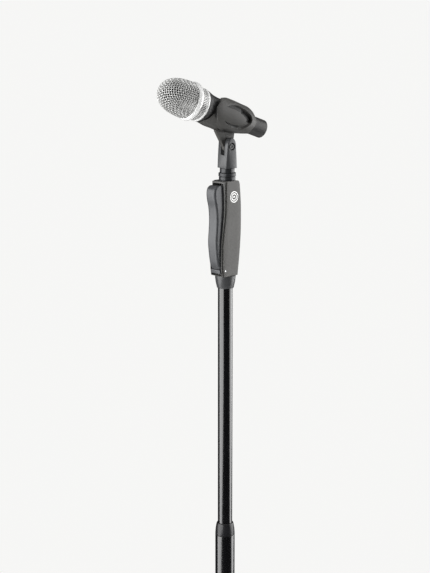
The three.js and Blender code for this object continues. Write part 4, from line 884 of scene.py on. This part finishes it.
def makeClipShell(c):
    # a wall between an outer and an inner radius, both worked out over angle and station;
    # towards every edge the two close to their middle along a quarter oval, which rounds the edge
    f = spread([0, 0.005, 0.02, 0.40, 0.86, 0.975, 0.993, 1],
               [0.005, 0.008, 0.016, 0.0047, 0.010, 0.004, 0.002])
    f = np.concatenate([-f[:0:-1], f])
    a = spread([0, 0.004, 0.02, 0.12, 0.95, 0.982, 0.996, 1],
               [0.0015, 0.004, 0.012, 0.0062, 0.006, 0.003, 0.001])
    fGrid, aGrid = np.meshgrid(f, a, indexing="ij")
    guess = aGrid * 71 + c["rear"]
    reach = math.pi - np.arcsin(np.clip(radiusAt(clipSlot, guess) / radiusAt(clipOuter, guess), -1, 1))
    phi = fGrid * reach
    rise = -(c["lipRadius"] + (c["cheekRadius"] - c["lipRadius"]) * easeStep(1.5, 1.9,
                                                                             np.abs(phi))) * np.cos(phi)
    mouth = splineLine(clipMouth, 300)
    front = np.interp(rise, mouth[:, 0], mouth[:, 1])
    rear = c["rear"] + (c["rearLow"] - c["rear"]) * easeStep(-0.2, 0.9, np.cos(phi))
    station = rear + aGrid * (front - rear)
    outer = radiusAt(clipOuter, station)
    slotHalf = radiusAt(clipSlot, station)
    reach = math.pi - np.arcsin(np.clip(slotHalf / outer, -1, 1))
    phi = fGrid * reach
    cosine = np.cos(phi)
    bellyUp = 23.5 - (15 - station) * 0.275
    limit = np.where(cosine > 0.05, bellyUp / np.maximum(cosine, 0.05), 60)
    blend = 0.5
    outer = -blend * np.log(np.exp(-outer / blend) + np.exp(-limit / blend))
    up = -outer * cosine
    eye = loopDistance(clipEye, station, up)
    pad = loopDistance(clipPad, station, up)
    groove = easeStep(0.4, -0.4, eye) * easeStep(-0.45, 0.45, pad)
    deepness = c["depth"] + (c["rearDepth"] - c["depth"]) * easeStep(10, 2, station) * easeStep(-2.4, -0.4,
                                                                                                up)
    edgeLine = splineLine(cheekEdge, 300)
    edgeAt = np.radians(np.interp(station, edgeLine[:, 0], edgeLine[:, 1]))
    lean = np.radians(np.gradient(edgeLine[:, 1], edgeLine[:, 0]))
    lean = np.interp(station, edgeLine[:, 0], lean)
    below = (edgeAt - np.abs(phi)) * 24 / np.sqrt(1 + (24 * lean) ** 2)
    step = easeStep(-0.3, 0.4, below)
    inset = c["bellyInset"] + (c["lipInset"] - c["bellyInset"]) * easeStep(20, 34, station)
    outer = outer - deepness * groove - inset * step
    inner = radiusAt(handleOuter, station) + c["fit"]
    hollow = np.where(station > -12, radiusAt(clipHollow, np.maximum(station, -12)), 0)
    # painted shade for the colour: dark in the sunk eye (less on its lower rear ramp), and painted shadow
    # under the cheek's lower edge, beside the cheek at the mouth and along the underside
    rearRamp = 1 - 0.75 * easeStep(8, 2, station) * easeStep(-0.4, -1.6, up)
    bellyShade = easeStep(5, 1.5, below) * step * easeStep(27, 20, station)
    mouthShade = easeStep(2.6, 1.4, below) * step * easeStep(42, 46, station)
    mouthShade = mouthShade * easeStep(-13, -10, up) * easeStep(5, 2, up)
    underShade = 0.8 * easeStep(0.8, 0.5, np.abs(phi)) * easeStep(2, 7, station) * easeStep(27, 21, station)
    shade = np.clip(groove * rearRamp + bellyShade + mouthShade + underShade, 0, 1)
    inner = np.maximum(inner, hollow * easeStep(-10, -8.4, -24 * cosine))
    outer = np.maximum(outer, inner + 0.55)
    nearSlot = (1 - np.abs(fGrid)) * reach * outer
    nearEnd = np.minimum(station - rear, front - station)

    def close(distance):
        return np.sqrt(1 - np.clip(1 - distance / c["edge"], 0, 1) ** 2)

    share = close(nearSlot) * close(nearEnd)
    middle = (outer + inner) / 2
    outside = middle + (outer - middle) * share
    inside = middle - (middle - inner) * share
    outPoints = inPlace(micPlace, station, outside * np.sin(phi), -outside * np.cos(phi))
    insidePhi = fGrid * (math.pi - np.arcsin(np.clip(slotHalf / inside, -1, 1)))
    inPoints = inPlace(micPlace, station, inside * np.sin(insidePhi), -inside * np.cos(insidePhi))
    rim = np.zeros(share.shape, bool)
    rim[[0, -1], :] = True
    rim[:, [0, -1]] = True
    inPoints[rim] = outPoints[rim]
    outFaces = gridFaces(*fGrid.shape)
    points = np.concatenate([outPoints.reshape(-1, 3), inPoints.reshape(-1, 3)])
    faces = np.vstack([outFaces, outFaces[:, ::-1] + fGrid.size])
    # the inner face of the wall is painted fully with shade
    recess = np.concatenate([shade.ravel(), np.ones(shade.size)])
    meshPiece("clipShell", points, faces, "clipRubber", "clip", ("clip_shell",), sharp=62, recess=recess)


def clipPlate(outline, thick, edge):
    # a plate in the clip's own upright plane, from an outline of (station, height above the pivot) pairs
    loop = evenLoop(softLine(outline, 0.8, 4, closed=True), 140)
    centre = loop.mean(axis=0)
    rings = platePoints(loop, -thick / 2, thick / 2, edge, inner=lambda l: centre + (l - centre) * 0.02)
    place = (pivotPoint, micDir, sideDir, micUp)
    points = np.array([inPlace(place, r[:, 0], np.full(len(r), x), r[:, 1]) for r, x in rings])
    return points.reshape(-1, 3), gridFaces(len(rings), len(loop), wrapCols=True)


earSet = {"web": 3.6, "rib": 6.4, "hub": 7.4, "bore": 2.9}


def makeClipEar(e):
    web = clipPlate([(25, 14), (22, 20.5), (-4, 20.5), (-5.6, 13), (-6, 0), (6.6, -2)], e["web"], 0.5)
    rib = clipPlate([(26.5, 13.2), (23, 20.5), (18.4, 20.5), (3, 3), (7.2, -3.4)], e["rib"], 0.9)
    half = e["rib"] / 2
    hubLine = softLine([(e["bore"], -half), (e["hub"], -half), (e["hub"], half), (e["bore"], half)], 0.8,
                       closed=True)
    angle = np.arange(72) / 72 * 2 * math.pi
    radius, turnBy = np.meshgrid(hubLine[:, 0], angle, indexing="ij")
    station = np.broadcast_to(hubLine[:, 1:2], radius.shape)
    hub = inPlace((pivotPoint, sideDir, micDir, micUp), station, radius * np.cos(turnBy),
                  radius * np.sin(turnBy)).reshape(-1, 3)
    hubFaces = gridFaces(len(hubLine), 72, wrapRows=True, wrapCols=True)
    points = np.vstack([web[0], rib[0], hub])
    faces = np.vstack([web[1], rib[1] + len(web[0]), hubFaces + len(web[0]) + len(rib[0])])
    meshPiece("clipEar", points, faces, "clipRubber", "clip", sharp=40)


# ---------- microphone ----------

micSet = {"tail": -47, "tailBore": 9.6, "insertEnd": -24, "bodyBore": 9, "handleEnd": 60.5,
          "spigot": 17.7, "spigotEnd": 80.5, "headBore": 14, "ringBore": 18, "rearRing": (61, 64, 22.3),
          "band": (64.4, 73.4, 21.9), "bandSlots": 62, "frontRing": (73.9, 81.4, 26)}


def makeHandle(m):
    outside = splineLine(handleOuter[2:-1], 70)
    line = np.vstack([softLine([(m["tailBore"], m["tail"] + 1), (m["tailBore"], m["tail"]),
                                (12.35, m["tail"]), (12.35, -40)], 0.8)[1:-1],
                      outside, [(21.4, m["handleEnd"]), (m["spigot"], m["handleEnd"]),
                                (m["spigot"], m["spigotEnd"]),
                                (m["headBore"], m["spigotEnd"]), (m["headBore"], 46.5), (m["bodyBore"],
                                                                                         28.5),
                                (m["bodyBore"], m["insertEnd"]), (m["tailBore"], m["insertEnd"])]])
    turnedPiece("micHandle", line, "handlePaint", "microphone", place=micPlace, replaced=("mic_handle",),
                closed=True)


def makeRings(m):
    start, end, radius = m["rearRing"]
    line = softLine([(m["ringBore"], start), (radius, start), (radius, end), (m["ringBore"], end)], 0.9, 6,
                    closed=True)
    turnedPiece("rearRing", line, "ringChrome", "microphone", place=micPlace, replaced=("rear_ring",),
                closed=True)
    start, end, radius = m["frontRing"]
    a = np.linspace(-math.pi / 2, math.pi / 2, 22)
    bulge = np.stack([radius - 2.4 + 2.4 * np.cos(a), (start + end) / 2 + (end - start) / 2 * np.sin(a)],
                     axis=1)
    line = np.vstack([[(m["ringBore"], start)], bulge, [(m["ringBore"], end)]])
    turnedPiece("frontRing", line, "ringChrome", "microphone", place=micPlace, replaced=("front_ring",),
                closed=True)


def makeBand(m):
    # a sleeve with two rows of upright slots pressed in round it; the slots are darkened with painted shade
    start, end, radius = m["band"]
    stations = spread([start, start + 0.9, start + 1.3, end - 1.3, end - 0.9, end],
                      [0.3, 0.13, 0.32, 0.13, 0.3])
    line = np.vstack([[(m["ringBore"], start), (radius - 0.5, start)],
                      np.stack([np.full(len(stations) - 2, radius), stations[1:-1]], axis=1),
                      [(radius - 0.5, end), (m["ringBore"], end)]])
    middle = (start + end) / 2
    half = (end - start) / 2

    def slots(angle, station, ringRadius):
        wave = easeStep(0.05, 0.55, np.cos(m["bandSlots"] * angle))
        row = easeStep(half - 0.9, half - 1.3, np.abs(station - middle)) * easeStep(0.25, 0.6,
                                                                                    np.abs(station - middle))
        return -0.9 * wave * row * (ringRadius > radius - 0.1)

    turnedPiece("gripBand", line, "bandSteel", "microphone", place=micPlace, replaced=("grip_band",),
                count=m["bandSlots"] * 12,
                closed=True, ripple=slots, sharp=70)


grilleSet = {"pitch": 3.1, "wire": 0.6, "weave": 0.5, "turn": 20.0, "from": 80.9, "sides": 6,
             "perPitch": 4}
grilleOuter = [(24.6, 60), (24.6, 70), (24.6, 82), (24.6, 90), (23.8, 99), (22.2, 106.5), (19.8, 113),
               (16.4, 118.8), (11.8, 122.8), (5.6, 125.2), (0, 125.7)]


def meridian(outline, inset):
    # the outline from the tip down, with its length and its outward direction at each point
    line = splineLine(outline, 900)[::-1]
    line[0, 0] = 0
    tangent = np.gradient(line, axis=0)
    tangent /= np.linalg.norm(tangent, axis=1, keepdims=True)
    outward = np.stack([-tangent[:, 1], tangent[:, 0]], axis=1)
    outward[0] = (0, 1)
    line = line - outward * inset
    line[0, 0] = 0
    length = np.concatenate([[0], np.cumsum(np.linalg.norm(np.diff(line, axis=0), axis=1))])
    return line, length, outward


def ontoDome(points, line):
    # nearest point of the turned surface, and which point of the meridian it is
    around = np.hypot(points[:, 0], points[:, 1])
    gap = (around[:, None] - line[None, :, 0]) ** 2 + (points[:, 2:3] - line[None, :, 1]) ** 2
    near = np.argmin(gap, axis=1)
    scale = line[near, 0] / np.maximum(around, 1e-6)
    return np.stack([points[:, 0] * scale, points[:, 1] * scale, line[near, 1]], axis=1), near


def wireNet(g, line, length):
    # a flat square mesh laid over the dome: every crossing is one pitch from its two neighbours nearer the
    # tip
    size = int(length[-1] / g["pitch"]) - 1
    net = np.full((size + 1, size + 1, 3), np.nan)
    steps = np.arange(size + 1) * g["pitch"]
    radius, station = np.interp(steps, length, line[:, 0]), np.interp(steps, length, line[:, 1])
    net[:, 0] = np.stack([radius, radius * 0, station], axis=1)
    net[0, :] = np.stack([radius * 0, radius, station], axis=1)
    for diagonal in range(2, 2 * size + 1):
        i = np.arange(max(1, diagonal - size), min(size, diagonal - 1) + 1)
        j = diagonal - i
        a, b, o = net[i - 1, j], net[i, j - 1], net[i - 1, j - 1]
        ready = np.isfinite(a).all(1) & np.isfinite(b).all(1) & (np.minimum(a[:, 2],
                                                                            b[:, 2]) > g["from"] - 8)
        if not ready.any():
            continue
        a, b, o, i, j = a[ready], b[ready], o[ready], i[ready], j[ready]
        x = a + b - o
        for _ in range(40):
            x = a + (x - a) / np.linalg.norm(x - a, axis=1, keepdims=True) * g["pitch"]
            x = b + (x - b) / np.linalg.norm(x - b, axis=1, keepdims=True) * g["pitch"]
            x = ontoDome(x, line)[0]
        net[i, j] = x
    return net


def smoothRow(row, perPitch):
    # extra points along a row of crossings (Catmull-Rom)
    p = np.vstack([2 * row[0] - row[1], row, 2 * row[-1] - row[-2]])
    count = (len(row) - 1) * perPitch + 1
    t = np.linspace(0, len(row) - 1, count)
    i = np.minimum(t.astype(int), len(row) - 2)
    f = (t - i)[:, None]
    p0, p1, p2, p3 = p[i], p[i + 1], p[i + 2], p[i + 3]
    return throughPoints(p0, p1, p2, p3, f), t


def sweptTube(path, normal, radius, sides):
    # a round tube along a path, its rings set out from the surface normal
    along = np.gradient(path, axis=0)
    along /= np.linalg.norm(along, axis=1, keepdims=True)
    across = np.cross(along, normal)
    across /= np.linalg.norm(across, axis=1, keepdims=True)
    above = np.cross(across, along)
    angle = np.arange(sides) / sides * 2 * math.pi
    cosine, sine = np.cos(angle)[None, :, None], np.sin(angle)[None, :, None]
    rings = path[:, None] + radius * (cosine * across[:, None] + sine * above[:, None])
    faces = gridFaces(len(path), sides, wrapCols=True).tolist()
    ends = [list(range(sides)), list(range((len(path) - 1) * sides, len(path) * sides))]
    return rings.reshape(-1, 3), faces + ends


def makeGrille(g):
    inset = g["wire"] + g["weave"] - 0.1
    line, length, outward = meridian(grilleOuter, inset)
    net = wireNet(g, line, length)
    size = len(net) - 1
    full = np.full((2 * size + 1, 2 * size + 1, 3), np.nan)
    index = np.arange(-size, size + 1)
    full[:] = net[np.abs(index)[:, None], np.abs(index)[None, :]]
    full[..., 0] *= np.where(index < 0, -1, 1)[:, None]
    full[..., 1] *= np.where(index < 0, -1, 1)[None, :]
    turn = math.radians(g["turn"])
    points, faces, start = [], [], 0
    for family in (0, 1):
        grid = full if family == 0 else full.transpose(1, 0, 2)
        for k in range(2 * size + 1):
            row = grid[:, k]
            ok = np.isfinite(row).all(1) & (row[:, 2] > g["from"] - g["pitch"])
            if ok.sum() < 4:
                continue
            mid = size
            low = mid - np.argmin(np.append(ok[mid::-1], False)) + 1
            high = mid + np.argmin(np.append(ok[mid:], False)) - 1
            if high - low < 3:
                continue
            path, t = smoothRow(row[low:high + 1], g["perPitch"])
            path, near = ontoDome(path, line)
            round_ = np.arctan2(path[:, 1], path[:, 0])
            normal = np.stack([outward[near, 0] * np.cos(round_), outward[near, 0] * np.sin(round_),
                               outward[near, 1]], axis=1)
            wave = np.cos(math.pi * (t + low + k)) * (1 if family == 0 else -1)
            path = path + normal * (g["weave"] * wave)[:, None]
            kept = path[:, 2] > g["from"]
            if kept.sum() < 6:
                continue
            ring, ringFaces = sweptTube(path[kept], normal[kept], g["wire"], g["sides"])
            points.append(ring)
            faces += [[v + start for v in face] for face in ringFaces]
            start += len(ring)
    p = np.vstack(points)
    x = p[:, 0] * math.cos(turn) - p[:, 1] * math.sin(turn)
    y = p[:, 0] * math.sin(turn) + p[:, 1] * math.cos(turn)
    placed = inPlace(micPlace, p[:, 2], x, y)
    mesh = bpy.data.meshes.new("wireGrille")
    mesh.from_pydata((placed * mm).tolist(), [], faces)
    mesh.shade_smooth()
    mesh.set_sharp_from_angle(angle=math.radians(80))
    mesh.materials.append(materials["wireSteel"])
    piece = bpy.data.objects.new("wireGrille", mesh)
    scene.collection.objects.link(piece)
    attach(piece, "microphone")
    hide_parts("grille")
    print("grille wires:", len(points), "faces:", len(faces))


# ---------- solids that keep their shape ----------

# solids copied with softened edges: name, node, finish, body, bevel in mm, segments
softCopies = [
    ("swivelYoke", "yoke", "yokePlastic", "yoke", 0.5, 3),
    ("pivotBolt", "pivot_bolt", "darkSteel", "yoke", 0.2, 2),
    ("pivotNut", "pivot_nut", "darkSteel", "yoke", 0.25, 2),
    ("pivotWasherRight", "pivot_washer_right", "darkSteel", "yoke", 0.1, 2),
    ("pivotWasherLeft", "pivot_washer_left", "darkSteel", "yoke", 0.1, 2),
    ("coverScrewLow", "cover_screw_1", "darkSteel", "mast", 0.2, 2),
    ("coverScrewHigh", "cover_screw_2", "darkSteel", "mast", 0.2, 2),
]

# solids that keep their own mesh, by finish
carried = {
    "brightSteel": ["base_bolt", "base_washer", "snap_ring", "release_rod", "rod_nut", "return_spring",
                    "lever_pin"],
    "framePlastic": ["foot_plug", "rod_guide"],
    "paleNylon": ["guide_bush", "glide_ring", "rod_head"],
    "turnedAlloy": ["clutch_body"],
    "brakeLining": ["brake_shoe_1", "brake_shoe_2", "brake_shoe_3"],
    "turnedBrass": ["wedge_cone", "connector_contact_1", "connector_contact_2", "connector_contact_3"],
    "collarPlastic": ["connector_insert"],
    "openFoam": ["foam_liner"],
    "wireSteel": ["capsule"],
    "softRubber": ["shock_mount"],
}


def giveFinishes(table):
    for finish, names in table.items():
        for name in names:
            for materialSlot in nodes[name].material_slots:
                materialSlot.material = materials[finish]


def makeFloor(spec):
    # a pale disc whose rim fades out
    angle = np.arange(96) / 96 * 2 * math.pi
    radius, turnBy = np.meshgrid(np.linspace(0.02, 1, 20) * spec["floorRadius"], angle, indexing="ij")
    points = np.stack([radius * np.cos(turnBy), radius * np.sin(turnBy), radius * 0 - 0.0002],
                      axis=-1).reshape(-1, 3)
    mesh = bpy.data.meshes.new("studioFloor")
    mesh.from_pydata(points.tolist(), [], gridFaces(20, 96, wrapCols=True).tolist() + [list(range(96))])
    floor = bpy.data.objects.new("studioFloor", mesh)
    scene.collection.objects.link(floor)
    material = bpy.data.materials.new("studioPaper")
    material.use_nodes = True
    tree = material.node_tree
    shader = tree.nodes["Principled BSDF"]
    shader.inputs["Roughness"].default_value = 0.9
    coord = tree.nodes.new("ShaderNodeTexCoord")
    far = put(tree, "ShaderNodeVectorMath", operation="LENGTH")
    tree.links.new(coord.outputs["Object"], far.inputs[0])
    fade = put(tree, "ShaderNodeMapRange", interpolation_type="SMOOTHSTEP")
    fade.inputs["From Min"].default_value = spec["floorRadius"] * 0.45
    fade.inputs["From Max"].default_value = spec["floorRadius"] * 0.98
    fade.inputs["To Min"].default_value = 1.0
    fade.inputs["To Max"].default_value = 0.0
    tree.links.new(far.outputs["Value"], fade.inputs["Value"])
    tree.links.new(fade.outputs[0], shader.inputs["Alpha"])
    speck = put(tree, "ShaderNodeTexNoise", in_Scale=900.0, in_Detail=3.0)
    tree.links.new(coord.outputs["Object"], speck.inputs["Vector"])
    tone = put(tree, "ShaderNodeMix", data_type="RGBA")
    pale = spec["floorPale"]
    tone.inputs[6].default_value = (pale, pale, pale * 0.99, 1)
    tone.inputs[7].default_value = (pale * 0.96, pale * 0.96, pale * 0.95, 1)
    tree.links.new(speck.outputs[0], tone.inputs[0])
    tree.links.new(tone.outputs[2], shader.inputs["Base Color"])
    mesh.materials.append(material)


makeClipShell(clipSet)
makeClipEar(earSet)
print("clip made")
makeHandle(micSet)
makeRings(micSet)
makeBand(micSet)
makeGrille(grilleSet)
print("microphone made")
for copyName, copyNode, copyFinish, copyBody, copyBevel, copySegments in softCopies:
    tidyCopy(copyName, copyNode, copyFinish, copyBody, copyBevel, copySegments)
giveFinishes(carried)
makeFloor(roomSet)
print("all pieces made")
